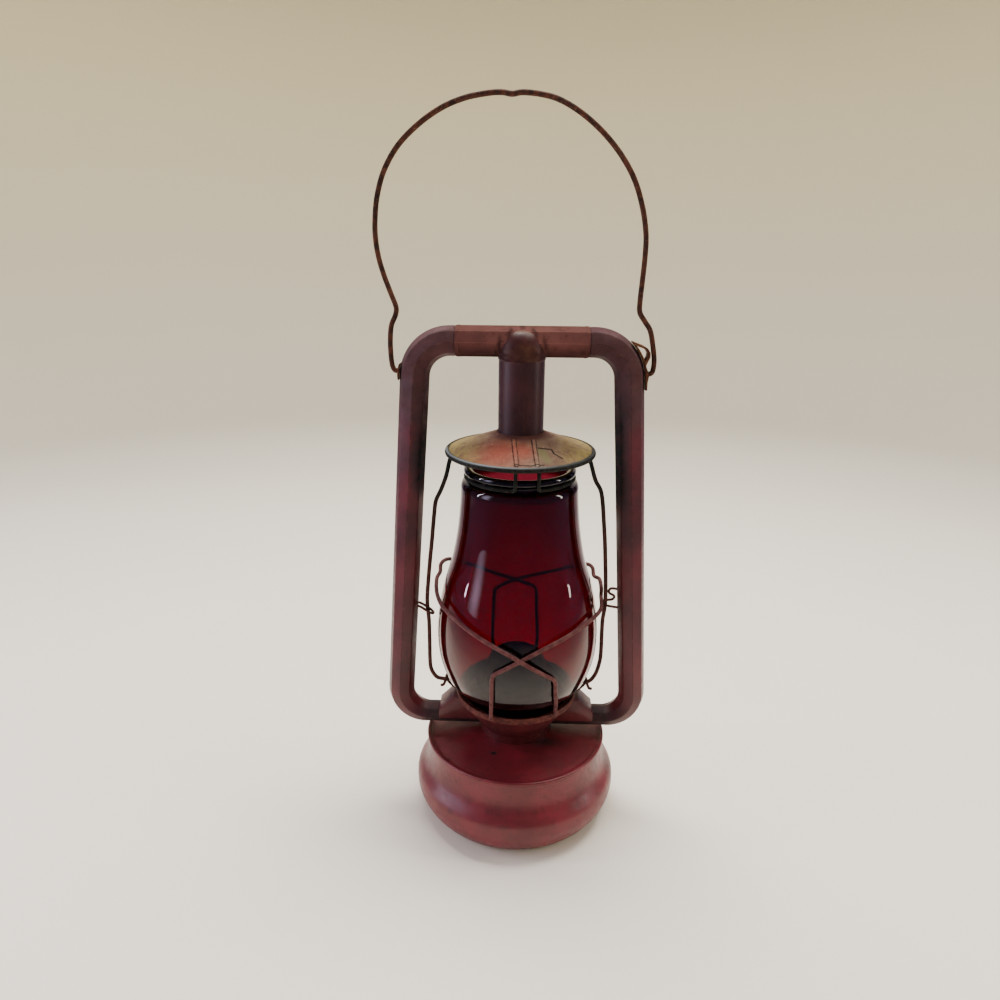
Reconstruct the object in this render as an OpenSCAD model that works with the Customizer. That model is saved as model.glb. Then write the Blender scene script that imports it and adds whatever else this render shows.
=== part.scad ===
// Hot-blast kerosene lantern with a ruby globe.
// Millimetres, +Z up, front towards -Y. The origin is the centre of the foot, on the table.

/* [Tube frame] */
// Corner radius of the eight-sided side tubes
tube_r = 9.45; // [8:0.05:10.5]
// Half thickness of the side tubes at the foot of their legs
leg_foot_r = 9.2; // [8:0.05:9.4]
// Half height of the flattened lower tubes
lower_half_h = 6.7; // [6:0.05:8]
// Half width of the flattened lower tubes
lower_half_w = 8.8; // [8:0.05:9.4]
// Corner radius of the eight-sided crossbar
bar_r = 9.7; // [8.8:0.1:10.8]
// Sheet thickness of tubes, chamber and crossbar
tube_wall = 0.8; // [0.5:0.1:1.2]
// Height of the crossbar's centreline
bar_z = 332.8; // [325:0.1:345]
// Height of the lower tubes' centreline
lower_z = 68.6; // [67.5:0.1:70]
// Half spread of the side tubes, taken at the crossbar's height
top_half = 65.2; // [60:0.1:69]
// Half spread of the side tubes, taken at the lower tubes' height
bottom_half = 83.3; // [79:0.1:88]
// Centreline radius of the top bends
top_bend_r = 22.5; // [20:0.1:23.5]
// Centreline radius of the bottom bends
bottom_bend_r = 19.5; // [17:0.1:22]
// Distance from the middle to the sleeve joints of the crossbar
joint_x = 41; // [38:0.1:42]
// Length of the necked tube end inside the crossbar
spigot_len = 7; // [4:0.5:10]

/* [Centre tube] */
// Outer radius of the round centre tube
chimney_r = 14.4; // [12.5:0.1:15]
// Height of the centre tube's open lower end
chimney_bottom = 266.5; // [266:0.1:268]
// Width of the lock seam up the centre tube
seam_w = 2.6; // [1.5:0.1:4]
// Height of the lock seam above the tube
seam_h = 0.45; // [0.3:0.05:0.6]

/* [Fount] */
// Radius of the foot where it stands
foot_r = 58; // [56:0.1:62]
// Largest radius of the fount
bulge_r = 71.1; // [68:0.1:74]
// Height of the largest radius
bulge_z = 22; // [18:0.5:26]
// Radius of the side wall at the shoulder seam
shoulder_r = 62.4; // [60:0.1:64]
// Height of the shoulder seam's top
shoulder_z = 57; // [56.5:0.1:57.2]
// Sheet thickness of the fount
fount_wall = 0.8; // [0.5:0.1:1.2]
// Height of the fount top at its centre
fount_top_z = 59.4; // [59:0.1:59.6]
// Height of the recessed bottom above the table
bottom_z = 4.5; // [3:0.5:7]
// Width of the flat hem that the lantern stands on
hem_w = 1.8; // [1.5:0.1:3]

/* [Filler] */
// Distance of the filler's middle inwards from the shoulder seam
filler_in = 16.4; // [16:0.1:17.2]
// Direction of the filler, counted from +X
filler_angle = 135; // [120:1:140]
// Outer radius of the filler neck's thread
neck_r = 9.6; // [8:0.1:9.8]
// Height of the filler neck's rim
neck_top = 66; // [64:0.1:66.5]
// Outer radius of the filler cap
cap_r = 12.4; // [11.6:0.1:12.6]
// Thickness of the filler gasket
gasket_t = 1.2; // [0.8:0.1:1.8]

/* [Air chamber] */
// Radius of the chamber's foot on the fount
chamber_foot_r = 25; // [23.5:0.1:26]
// Radius of the chamber's flat rim
chamber_rim_r = 40.6; // [39:0.1:41]
// Height of the chamber's flat rim
chamber_rim_z = 86.7; // [86:0.1:87]

/* [Burner] */
// Radius of the burner's drum
burner_r = 17; // [16:0.1:18]
// Radius of the burner cone
cone_r = 21; // [19:0.1:21.2]
// Height of the burner cone's top
cone_top = 118.5; // [116:0.5:124]
// Width of the flat wick
wick_w = 15.9; // [12:0.1:16]
// Thickness of the flat wick
wick_t = 1.9; // [1.5:0.1:2.2]
// Height of the wick's top at rest
wick_top = 113; // [110:0.5:114]
// Radius of the wick-raiser shaft
shaft_r = 1.5; // [1.2:0.1:1.8]
// Height of the wick-raiser shaft
shaft_z = 74; // [73:0.1:76]
// Radius of the toothed wheels that feed the wick
spur_r = 4.5; // [3.5:0.1:5]
// Radius of the wick knob
knob_r = 9; // [7:0.1:10]
// Number of teeth on each toothed wheel
spur_teeth = 12; // [8:1:16]

/* [Globe] */
// Largest radius of the globe
globe_r = 55.1; // [54:0.1:55.4]
// Thickness of the glass
glass_t = 2.6; // [2:0.1:2.8]
// Height of the globe's largest radius
globe_wide_z = 136; // [130:0.5:140]
// Height of the globe's lip
lip_top = 254; // [252:0.1:256]
// Radius of the globe's lip
lip_r = 36.2; // [35.5:0.1:36.8]
// Turn of the loose globe and its guard about the lantern's axis
globe_turn = 7; // [0:1:10]

/* [Globe plate] */
// Outer radius of the plate's rim
plate_r = 42; // [41.5:0.1:43]
// Height of the plate's turned-up rim
plate_rim_h = 4.3; // [3.5:0.1:5]
// Sheet thickness of the plate
plate_t = 0.8; // [0.5:0.1:1]
// Perforations in each row
vent_count = 30; // [20:1:34]
// Radius of each perforation
vent_r = 0.75; // [0.5:0.05:0.9]

/* [Canopy] */
// Radius to the middle of the canopy's rolled rim
canopy_r = 46.6; // [46.2:0.1:50]
// Height of the canopy's rolled rim
canopy_rim_z = 263.9; // [263.5:0.1:265]
// Height where the canopy's cone reaches the centre tube
canopy_top_z = 276; // [274:0.1:280]
// Radius of the rolled rim
canopy_bead_r = 1.75; // [1.4:0.05:2]
// Radius of the wire inside the rolled rim
rim_wire_r = 1.05; // [0.8:0.05:1.1]
// Half distance between the two front ribs
rib_half = 7.2; // [5:0.1:9]

/* [Wires] */
// Radius of the bail wire
bail_wire_r = 1.6; // [1.3:0.05:1.8]
// Radius of the lift wires
lift_wire_r = 1.2; // [0.9:0.05:1.3]
// Radius of the globe guard wires
guard_wire_r = 1.2; // [0.9:0.05:1.3]
// Radius of the globe's neck ring wire
ring_wire_r = 1.2; // [1:0.05:1.3]
// Radius of the guide wires
guide_wire_r = 0.9; // [0.7:0.05:1]
// Height of the bail's pivots
bail_pivot_z = 314; // [312:0.1:316]

/* [Clearances] */
// Gap of fixed fits
fit = 0.05; // [0.03:0.01:0.1]
// Radial gap of the shaft and pins in their bores
running = 0.05; // [0.03:0.01:0.1]
// Gap under pieces that rest on another
seat_gap = 0.3; // [0.2:0.05:0.5]
// Gap between the sliding canopy and the centre tube
slide_gap = 0.35; // [0.3:0.05:0.6]
// Gap between the guard wires and the glass
guard_gap = 0.5; // [0.3:0.1:0.9]

/* [Hidden] */

$fn = 96;

// Angle of each side tube's slope away from the vertical
splay = atan((bottom_half - top_half) / (bar_z - lower_z));
// Angles that the top and bottom bends turn through
top_turn = 90 - splay;
bottom_turn = 90 + splay;
// Straight lengths that the bends use up on each side of their corners
top_used = top_bend_r * tan(top_turn / 2);
bottom_used = bottom_bend_r * tan(bottom_turn / 2);
// Length of the sloping leg between its corners
leg_len = (bar_z - lower_z) / cos(splay);
// Where the lower tubes end inside the chamber
tube_inner_x = chamber_foot_r - 2;
// Room left for the sleeve of the crossbar round the centre tube
sleeve_z = bar_z - bar_r - 1.2;
// How far the globe and its canopy can be raised
lift_travel = 25;
// Underside of the globe plate
plate_z = chamber_rim_z + seat_gap;
// Bottom of the glass
globe_bottom = plate_z + plate_t + seat_gap;
// Radius of the glass foot, which stands in the plate's rim
globe_foot_r = 36.5;
// Distance from the wick's middle to the raiser shaft
shaft_x = wick_t / 2 + seat_gap + spur_r;
// Places of the two toothed wheels along the shaft
spur_y = 4.5;
spur_w = 1;
// Far face of the wick knob
knob_y = 58;
knob_w = 3;
// Outer size of the wick tube
wick_tube_wall = 0.55;
wick_tube_x = wick_t + 2 * 0.5 + 2 * wick_tube_wall;
wick_tube_y = wick_w + 2 * 0.7 + 2 * wick_tube_wall;
burner_floor_z = 66.6;
burner_flange_z = 95.2;
burner_sheet = 0.7;
// The collar that the burner screws into
collar_out_r = 15;
collar_bore_r = 13;
collar_top = burner_floor_z - seat_gap;
// Wick cone
cone_sheet = 0.6;
cone_slot_y = wick_w + 2.4;
cone_slot_x = 5;
// Neck ring of the globe
ring_z = lip_top - 6.6;
ring_groove_r = 33.7;
ring_r = ring_groove_r + ring_wire_r + 0.25;
leg_angle = asin(rib_half / (lip_r + 2));
// The filler's place
filler_dist = shoulder_r - filler_in;
filler_x = filler_dist * cos(filler_angle);
filler_y = filler_dist * sin(filler_angle);
neck_collar_r = neck_r + 1.9;
neck_collar_top = 58.7;

// Vector helpers
function unit(v) = v / norm(v);
function polar(angle, radius, z) = [radius * sin(angle), -radius * cos(angle), z];

// A smooth line through hand-chosen points, with some steps between each pair
function spline_point(a, b, c, d, t) =
  0.5 * (2 * b + (c - a) * t + (2 * a - 5 * b + 4 * c - d) * t * t
    + (3 * b - a - 3 * c + d) * t * t * t);
function smooth(p, steps) = concat(
  [for (i = [0 : len(p) - 2], k = [0 : steps - 1])
    spline_point(p[max(i - 1, 0)], p[i], p[i + 1], p[min(i + 2, len(p) - 1)], k / steps)],
  [p[len(p) - 1]]
);

// A round wire of radius r swept along a line of points, with flat closed ends
function tangents(p) = [for (i = [0 : len(p) - 1])
  unit(p[min(i + 1, len(p) - 1)] - p[max(i - 1, 0)])];
function side_of(t) = unit(cross(t, abs(t.y) < 0.9 ? [0, 1, 0] : [1, 0, 0]));
function carried(t) = [
  for (i = 0, n = side_of(t[0]); i < len(t);
    i = i + 1, n = i < len(t) ? unit(n - (n * t[i]) * t[i]) : n) n];
module wire(p, r, sides = 8) {
  t = tangents(p);
  n = carried(t);
  count = len(p);
  polyhedron(
    points = [for (i = [0 : count - 1], k = [0 : sides - 1])
      p[i] + r * (cos(360 * k / sides) * n[i] + sin(360 * k / sides) * cross(t[i], n[i]))],
    faces = concat(
      [[for (k = [0 : sides - 1]) k]],
      [[for (k = [sides - 1 : -1 : 0]) (count - 1) * sides + k]],
      [for (i = [0 : count - 2], k = [0 : sides - 1])
        let (a = i * sides + k, b = i * sides + (k + 1) % sides)
        each [[a, a + sides, b + sides], [a, b + sides, b]]]
    )
  );
}

// A ring of sheet turned from an outline of [radius, height] points
module turned(outline) rotate_extrude() polygon(outline);

// The outer line of a turned shell, joined to the same line moved inwards by its wall
function shell(line, wall) = concat(line, [for (i = [len(line) - 1 : -1 : 0]) line[i] - [wall, 0]]);

// Side wall of the fount: a drawn ogee that stands on a flat hem
foot_steps = 8;
waist_steps = 14;
// Share of the way from the bulge to the seam where the flare is halfway in
flare_at = 0.38;
function foot_line() = [for (i = [0 : foot_steps]) let (u = i / foot_steps)
  [foot_r + (bulge_r - foot_r) * pow(sin(90 * u), 0.75), bulge_z * u]];
function flare(u) = 1 / (1 + pow(u / flare_at, 4));
function waist_line() = [for (i = [1 : waist_steps]) let (u = i / waist_steps)
  [shoulder_r + (bulge_r - shoulder_r) * (flare(u) - flare(1)) / (1 - flare(1)),
    bulge_z + (seam_foot_z - bulge_z) * u]];
seam_foot_z = shoulder_z - 4.2;
wall_top = shoulder_z - 0.9;
fount_line = concat(foot_line(), waist_line(), [[shoulder_r, wall_top]]);
module fount_side() color("firebrick") {
  turned(shell(fount_line, fount_wall));
  rotate_extrude() translate([foot_r - hem_w, 0]) square([hem_w - fount_wall / 2, fount_wall]);
}

// Top of the fount, crimped over the side wall, with holes for the burner collar and filler
disc_edge_r = shoulder_r - fount_wall - 1;
disc_edge_z = shoulder_z - 1.9;
disc_in_r = disc_edge_r - 0.6;
disc_flat_r = 20;
// Height of the fount top's upper face at a radius
function fount_surface(r) = fount_top_z
  - (fount_top_z - disc_edge_z) * (r - disc_flat_r) / (disc_in_r - disc_flat_r);
module fount_top() color("firebrick") difference() {
  turned([
    [shoulder_r + fit, seam_foot_z + 0.4], [shoulder_r + 0.9, seam_foot_z + 0.4],
    [shoulder_r + 0.9, shoulder_z - 1], [shoulder_r + 0.5, shoulder_z - 0.3],
    [shoulder_r - 0.4, shoulder_z], [disc_edge_r + 0.5, shoulder_z - 0.3],
    [disc_edge_r, shoulder_z - 0.9], [disc_in_r, disc_edge_z],
    [disc_flat_r, fount_top_z], [collar_bore_r - 0.6, fount_top_z],
    [collar_bore_r - 0.6, fount_top_z - fount_wall], [disc_flat_r, fount_top_z - fount_wall],
    [disc_edge_r - 0.4, disc_edge_z - fount_wall], [shoulder_r - fount_wall - fit, disc_edge_z],
    [shoulder_r - fount_wall - fit, wall_top + fit], [shoulder_r + fit, wall_top + fit]
  ]);
  translate([filler_x, filler_y, disc_edge_z - 5]) cylinder(r = neck_collar_r + fit, h = 20);
}

// Recessed bottom pan, standing on the hem inside the wall
pan_r = foot_r - fount_wall - 0.1;
module fount_bottom() color("saddlebrown") difference() {
  translate([0, 0, fount_wall + fit]) cylinder(r = pan_r, h = bottom_z + fount_wall - fit);
  translate([0, 0, -1]) cylinder(r = pan_r - fount_wall, h = bottom_z + fount_wall + 1);
}

// Filler neck, let into the fount's top
module filler_neck() color("firebrick") translate([filler_x, filler_y, 0]) turned([
  [neck_r - 1, disc_edge_z - 1.6], [neck_collar_r, disc_edge_z - 1.6],
  [neck_collar_r, neck_collar_top], [neck_r, neck_collar_top + 0.6], [neck_r, neck_top],
  [neck_r - 1, neck_top]
]);

gasket_z = neck_top + seat_gap;
module filler_gasket() color("tan") translate([filler_x, filler_y, gasket_z]) difference() {
  cylinder(r = neck_r + 0.05, h = gasket_t);
  translate([0, 0, -1]) cylinder(r = neck_r - 1.1, h = gasket_t + 2);
}

// Screw cap with a milled skirt
cap_bottom = neck_collar_top + seat_gap + 0.3;
cap_inner_z = gasket_z + gasket_t + 0.1;
cap_flutes = 24;
module filler_cap() color("darkred") translate([filler_x, filler_y, 0]) difference() {
  turned([
    [neck_r + seat_gap, cap_bottom], [cap_r, cap_bottom], [cap_r, cap_inner_z],
    [cap_r - 1.2, cap_inner_z + 1], [0, cap_inner_z + 1.6], [0, cap_inner_z],
    [neck_r + seat_gap, cap_inner_z]
  ]);
  for (i = [0 : cap_flutes - 1]) rotate(i * 360 / cap_flutes)
    translate([cap_r + 0.35, 0, cap_bottom - 1]) cylinder(r = 0.8, h = cap_inner_z - cap_bottom, $fn = 24);
}

// Octagonal bar of corner radius r along +X, from x0 to x1
module bar(r, x0, x1) translate([x0, 0, 0]) rotate([0, 90, 0]) cylinder(r = r, h = x1 - x0, $fn = 8);
// The same with a flattened section: half height h, half width w
module flat_bar(h, w, x0, x1) translate([x0, 0, 0]) rotate([90, 0, 90])
  linear_extrude(height = x1 - x0) polygon([for (k = [0 : 7]) [w * cos(45 * k), h * sin(45 * k)]]);

// A closed tube between an outer and an inner run of eight-cornered rings
function sides_of(count, first, inward) = [for (i = [0 : count - 2], k = [0 : 7])
  let (a = first + i * 8 + k, b = first + i * 8 + (k + 1) % 8)
  each inward ? [[a, b + 8, a + 8], [a, b, b + 8]] : [[a, a + 8, b + 8], [a, b + 8, b]]];
module ring_tube(outer, inner) {
  first = len(outer) * 8;
  outer_end = first - 8;
  inner_end = first + len(inner) * 8 - 8;
  polyhedron(
    points = [for (ring = concat(outer, inner)) each ring],
    faces = concat(
      sides_of(len(outer), 0, false), sides_of(len(inner), first, true),
      [for (k = [0 : 7]) [k, (k + 1) % 8, first + (k + 1) % 8, first + k]],
      [for (k = [0 : 7]) [outer_end + (k + 1) % 8, outer_end + k, inner_end + k, inner_end + (k + 1) % 8]]
    )
  );
}

// Middle line of one side tube as rings of [x, z, turn, half thickness, half width]. The turn is 0
// where the outer side faces up, in the crossbar, and 180 where it faces down, over the fount.
bend_steps = 12;
function bend_rings(x, z, radius, from, turn, first, last) = [for (i = [0 : bend_steps])
  let (u = i / bend_steps, a = from + turn * u)
  concat([x + radius * sin(a), z + radius * cos(a), a], first + (last - first) * u * u)];
top_section = [tube_r, tube_r];
leg_section = [leg_foot_r, tube_r];
low_section = [lower_half_h, lower_half_w];
function tube_rings(x_start, x_end) = concat(
  [concat([x_start, bar_z, 0], top_section)],
  bend_rings(top_half - top_used, bar_z - top_bend_r, top_bend_r, 0, top_turn, top_section, top_section),
  bend_rings(bottom_half - bottom_used, lower_z + bottom_bend_r, bottom_bend_r, top_turn, bottom_turn,
    leg_section, low_section),
  [concat([x_end, lower_z, 180], low_section)]
);
// The eight corners of a ring, drawn in by inset
function ring_corners(ring, inset = 0) = [for (k = [0 : 7])
  let (out = (ring[3] - inset) * cos(45 * k))
  [ring[0] + out * sin(ring[2]), (inset - ring[4]) * sin(45 * k), ring[1] + out * cos(ring[2])]];
// Half thickness of the leg at a height, between its two bends
leg_top_z = bar_z - top_used * cos(splay);
leg_low_z = lower_z + bottom_used * cos(splay);
function leg_half(z) = lookup(z, [[leg_low_z, leg_foot_r], [leg_top_z, tube_r]]);

corner_wall = tube_wall / cos(22.5);
spigot_r = bar_r - corner_wall - fit;
module side_tube() {
  start_x = joint_x - spigot_len;
  neck_x = joint_x + 1;
  ring_tube(
    concat(
      [for (x = [start_x, joint_x]) ring_corners([x, bar_z, 0, spigot_r, spigot_r])],
      [for (ring = tube_rings(joint_x, tube_inner_x)) ring_corners(ring)]
    ),
    concat(
      [for (x = [start_x, neck_x]) ring_corners([x, bar_z, 0, spigot_r, spigot_r], corner_wall)],
      [for (ring = tube_rings(neck_x, tube_inner_x)) ring_corners(ring, corner_wall)]
    )
  );
}
module right_side_tube() color("firebrick") side_tube();
module left_side_tube() color("firebrick") mirror([1, 0, 0]) side_tube();

// Crossbar with a domed saddle over the centre tube
dome_steps = 7;
dome_top_r = 4;
function dome_line(grow) = [for (i = [0 : dome_steps]) let (u = 90 * i / dome_steps)
  [dome_top_r + (chimney_r + fit + grow - dome_top_r) * cos(u),
    sleeve_z + 4 + (bar_z + bar_r - 3 - sleeve_z - 4) * sin(u) + grow * sin(u)]];
module saddle(grow, z0) turned(concat(
  [[0, z0], [chimney_r + fit + grow, z0]], dome_line(grow),
  [[0, dome_line(grow)[dome_steps].y]]
));
module top_crossbar() color("brown") difference() {
  union() {
    translate([0, 0, bar_z]) bar(bar_r, -joint_x, joint_x);
    saddle(tube_wall, sleeve_z);
  }
  translate([0, 0, bar_z]) bar(bar_r - tube_wall / cos(22.5), -joint_x - 1, joint_x + 1);
  saddle(0, sleeve_z - 1);
}

// Round centre tube with its lock seam
chimney_top = sleeve_z + 3.5;
seam_angle = 50;
seam_root = 0.4;
// The seam stands proud only above the raised canopy's reach
seam_bottom = canopy_top_z + lift_travel + 5;
module centre_tube() color("brown") difference() {
  union() {
    translate([0, 0, chimney_bottom]) cylinder(r = chimney_r, h = chimney_top - chimney_bottom);
    rotate(seam_angle - 90) translate([chimney_r - seam_root, -seam_w / 2, seam_bottom])
      cube([seam_root + seam_h, seam_w, sleeve_z - 1 - seam_bottom]);
  }
  translate([0, 0, chimney_bottom - 1])
    cylinder(r = chimney_r - tube_wall, h = chimney_top - chimney_bottom + 2);
}

// Air chamber: a funnel on the fount, with a wing over each lower tube
chamber_foot_z = fount_surface(chamber_foot_r - tube_wall) + fit;
chamber_foot_h = 5.5;
chamber_waist_r = 33;
chamber_waist_z = 76;
chamber_top_r = chamber_rim_r - 2.2;
// The funnel as a solid, drawn in by its wall and drawn out at both ends to make its own hollow
module chamber_bowl(wall, past = 0) turned([
  [chamber_foot_r - wall, chamber_foot_z - past],
  [chamber_foot_r - wall, chamber_foot_z + chamber_foot_h],
  [chamber_waist_r - wall, chamber_waist_z], [chamber_top_r - wall, chamber_rim_z - tube_wall],
  [chamber_top_r - wall, chamber_rim_z + past], [0, chamber_rim_z + past], [0, chamber_foot_z - past]
]);
// One wing as a solid, drawn in by its wall to make its own hollow
wing_half_w = lower_half_w + fit + 0.6;
wing_in_x = chamber_foot_r - 1;
wing_top_x = 44;
wing_out_x = 54.5;
wing_top_z = chamber_rim_z - 1;
wing_foot_z = lower_z + lower_half_h;
module wing_solid(wall) hull() {
  translate([wing_in_x, wall - wing_half_w, lower_z])
    cube([wing_top_x - wing_in_x - wall, 2 * (wing_half_w - wall), wing_top_z - lower_z - wall]);
  translate([wing_in_x, wall - wing_half_w, lower_z])
    cube([wing_out_x - wing_in_x - wall, 2 * (wing_half_w - wall), wing_foot_z - lower_z - wall]);
}
module air_chamber() color("firebrick") difference() {
  union() {
    chamber_bowl(0);
    rotate_extrude() translate([chamber_rim_r - 4, chamber_rim_z - tube_wall])
      square([4, tube_wall]);
    for (s = [0, 1]) mirror([s, 0, 0]) wing_solid(0);
  }
  chamber_bowl(tube_wall, 1);
  for (s = [0, 1]) mirror([s, 0, 0]) {
    wing_solid(tube_wall);
    translate([0, 0, lower_z])
      flat_bar(lower_half_h + fit, lower_half_w + fit, tube_inner_x - 6, bottom_half);
  }
  translate([0, 0, chamber_rim_z]) cylinder(r = 60, h = 10);
  translate([shaft_x, 0, shaft_z]) rotate([-90, 0, 0]) cylinder(r = shaft_r + 0.7, h = 50);
}

// Burner collar soldered in the fount's top
module burner_collar() color("darkgoldenrod") turned([
  [collar_bore_r, fount_top_z + fit], [collar_out_r + 3, fount_top_z + fit],
  [collar_out_r + 3, fount_top_z + 0.8], [collar_out_r, fount_top_z + 0.8],
  [collar_out_r, collar_top], [collar_bore_r, collar_top]
]);

// Burner: screwed skirt, floor, drum and flared gallery
burner_skirt_r = collar_bore_r - running;
module burner_shell() turned([
  [burner_skirt_r - 0.8, fount_top_z + 0.6], [burner_skirt_r, fount_top_z + 0.6],
  [burner_skirt_r, burner_floor_z], [burner_r, burner_floor_z], [burner_r, 84],
  [cone_r - 0.6, burner_flange_z - 2], [cone_r + 0.7, burner_flange_z - 2],
  [cone_r + 0.7, burner_flange_z], [cone_r - 2, burner_flange_z],
  [burner_r - burner_sheet, 84.6], [burner_r - burner_sheet, burner_floor_z + 0.8],
  [0, burner_floor_z + 0.8], [0, burner_floor_z], [burner_skirt_r - 0.8, burner_floor_z]
]);
gallery_vents = 16;
module burner_body() color("goldenrod") difference() {
  burner_shell();
  translate([-wick_tube_x / 2 - fit, -wick_tube_y / 2 - fit, burner_floor_z - 1])
    cube([wick_tube_x + 2 * fit, wick_tube_y + 2 * fit, 3]);
  translate([shaft_x, -burner_r - 2, shaft_z]) rotate([-90, 0, 0])
    cylinder(r = shaft_r + running, h = 2 * burner_r + 4);
  for (i = [0 : gallery_vents - 1]) rotate((i + 0.5) * 360 / gallery_vents)
    translate([burner_r - 3, 0, 80.5]) rotate([0, 90, 0]) cylinder(r = 1.3, h = 6);
}

// Domed burner cone with the flame slot
cone_foot_z = burner_flange_z + fit;
cone_steps = 8;
cone_flat_r = 13;
cone_skirt_h = 10;
function cone_line(inset) = [for (i = [0 : cone_steps]) let (u = 90 * i / cone_steps)
  [cone_flat_r - inset + (cone_r - cone_flat_r) * cos(u),
    cone_foot_z + cone_skirt_h + (cone_top - cone_foot_z - cone_skirt_h - inset) * sin(u)]];
module burner_cone() color("dimgray") difference() {
  turned(concat(
    [[cone_r - cone_sheet, cone_foot_z], [cone_r, cone_foot_z]], cone_line(0),
    [[0, cone_top], [0, cone_top - cone_sheet]],
    [for (i = [cone_steps : -1 : 0]) cone_line(cone_sheet)[i]]
  ));
  translate([-cone_slot_x / 2, -cone_slot_y / 2, cone_top - 12]) cube([cone_slot_x, cone_slot_y, 20]);
}

// Flat tube that leads the wick, with windows for the toothed wheels
wick_tube_bottom = 50;
wick_tube_top = cone_top - 9;
module wick_tube() color("goldenrod") difference() {
  translate([-wick_tube_x / 2, -wick_tube_y / 2, wick_tube_bottom])
    cube([wick_tube_x, wick_tube_y, wick_tube_top - wick_tube_bottom]);
  translate([-wick_tube_x / 2 + wick_tube_wall, -wick_tube_y / 2 + wick_tube_wall, wick_tube_bottom - 1])
    cube([wick_tube_x - 2 * wick_tube_wall, wick_tube_y - 2 * wick_tube_wall,
      wick_tube_top - wick_tube_bottom + 2]);
  for (y = [-spur_y, spur_y])
    translate([wick_tube_x / 2 - wick_tube_wall - 0.2, y - spur_w / 2 - 0.4, shaft_z - 3.4])
      cube([wick_tube_wall + 1, spur_w + 0.8, 6.8]);
}

// Flat wick, from the flame down into the fuel
wick_bottom = 18;
module wick() color("ivory") translate([-wick_t / 2, -wick_w / 2, wick_bottom])
  cube([wick_t, wick_w, wick_top - wick_bottom]);

// Raiser shaft, its toothed wheels and its knob
module raiser_shaft() color("dimgray") translate([shaft_x, -burner_r - 1, shaft_z])
  rotate([-90, 0, 0]) cylinder(r = shaft_r, h = knob_y + burner_r + 1);
module toothed_wheel() difference() {
  cylinder(r = spur_r, h = spur_w, center = true);
  cylinder(r = shaft_r + fit / 2, h = spur_w + 2, center = true);
  for (i = [0 : spur_teeth - 1]) rotate((i + 0.5) * 360 / spur_teeth)
    translate([spur_r + 0.1, 0, 0]) cylinder(r = spur_r * 0.15, h = spur_w + 2, center = true, $fn = 16);
}
module wick_spurs() color("dimgray") for (y = [-spur_y, spur_y])
  translate([shaft_x, y, shaft_z]) rotate([-90, 0, 0]) toothed_wheel();
knob_flutes = 28;
module wick_knob() color("darkgoldenrod") translate([shaft_x, knob_y, shaft_z]) rotate([90, 0, 0])
  difference() {
    union() {
      cylinder(r = knob_r, h = knob_w - 1);
      cylinder(r = shaft_r + 2, h = knob_w + 3);
    }
    translate([0, 0, -1]) cylinder(r = shaft_r + fit / 2, h = knob_w + 6);
    for (i = [0 : knob_flutes - 1]) rotate(i * 360 / knob_flutes)
      translate([knob_r + 0.3, 0, -1]) cylinder(r = 0.7, h = knob_w + 1, $fn = 16);
  }

// Outer line of the glass, from its foot over the bulb and neck to the shoulder under the ring
globe_knots = [
  [globe_foot_r, globe_bottom], [globe_foot_r, globe_bottom + 3.5], [globe_foot_r + 2.1, 94],
  [44.6, 99.5], [49.4, 106], [53.8, 120], [globe_r, globe_wide_z], [53.7, 154], [49.9, 172],
  [44.6, 190], [40.8, 210], [38.7, 230], [38.2, ring_z - 6]
];
globe_steps = 3;
globe_line = smooth(globe_knots, globe_steps);
globe_table = [for (p = globe_line) [p.y, p.x]];
function glass_at(z) = lookup(z, globe_table);
module globe() color("darkred", 0.6) turned(concat(
  globe_line,
  [[37.2, ring_z - 3.4], [34.9, ring_z - 1.9], [ring_groove_r, ring_z - 1.2],
    [ring_groove_r, ring_z + 1.2], [34.9, ring_z + 1.9], [lip_r, ring_z + 3], [lip_r, lip_top - 1.6],
    [lip_r - 1, lip_top - 0.3], [lip_r - 2, lip_top], [ring_groove_r - glass_t + 0.6, lip_top - 0.5],
    [ring_groove_r - glass_t, lip_top - 2], [ring_groove_r - glass_t, ring_z - 4]],
  [for (i = [len(globe_line) - 3 : -1 : 0]) globe_line[i] - [glass_t, 0]]
));

// Perforated plate that the globe stands on
vent_foot_r = 33.4;
vent_top_r = 28.5;
vent_top_z = plate_z + 10;
vent_hole_r = cone_r + 1.5;
vent_slope = atan((vent_foot_r - vent_top_r) / (vent_top_z - plate_z));
module globe_plate() color("gray") difference() {
  turned([
    [vent_foot_r, plate_z], [plate_r, plate_z], [plate_r, plate_z + plate_rim_h],
    [plate_r - plate_t, plate_z + plate_rim_h], [plate_r - plate_t, plate_z + plate_t],
    [vent_foot_r, plate_z + plate_t], [vent_top_r, vent_top_z + plate_t],
    [vent_hole_r, vent_top_z + plate_t], [vent_hole_r, vent_top_z],
    [vent_top_r - plate_t, vent_top_z], [vent_foot_r - plate_t, plate_z + plate_t / 2]
  ]);
  for (row = [0 : 2], i = [0 : vent_count - 1]) let (u = 0.3 + 0.24 * row)
    rotate((i + row / 2) * 360 / vent_count)
      translate([vent_foot_r * (1 - u) + vent_top_r * u, 0, plate_z + plate_t + (vent_top_z - plate_z) * u])
        rotate([0, 90 - vent_slope, 0]) cylinder(r = vent_r, h = 5, center = true, $fn = 16);
}

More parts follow.
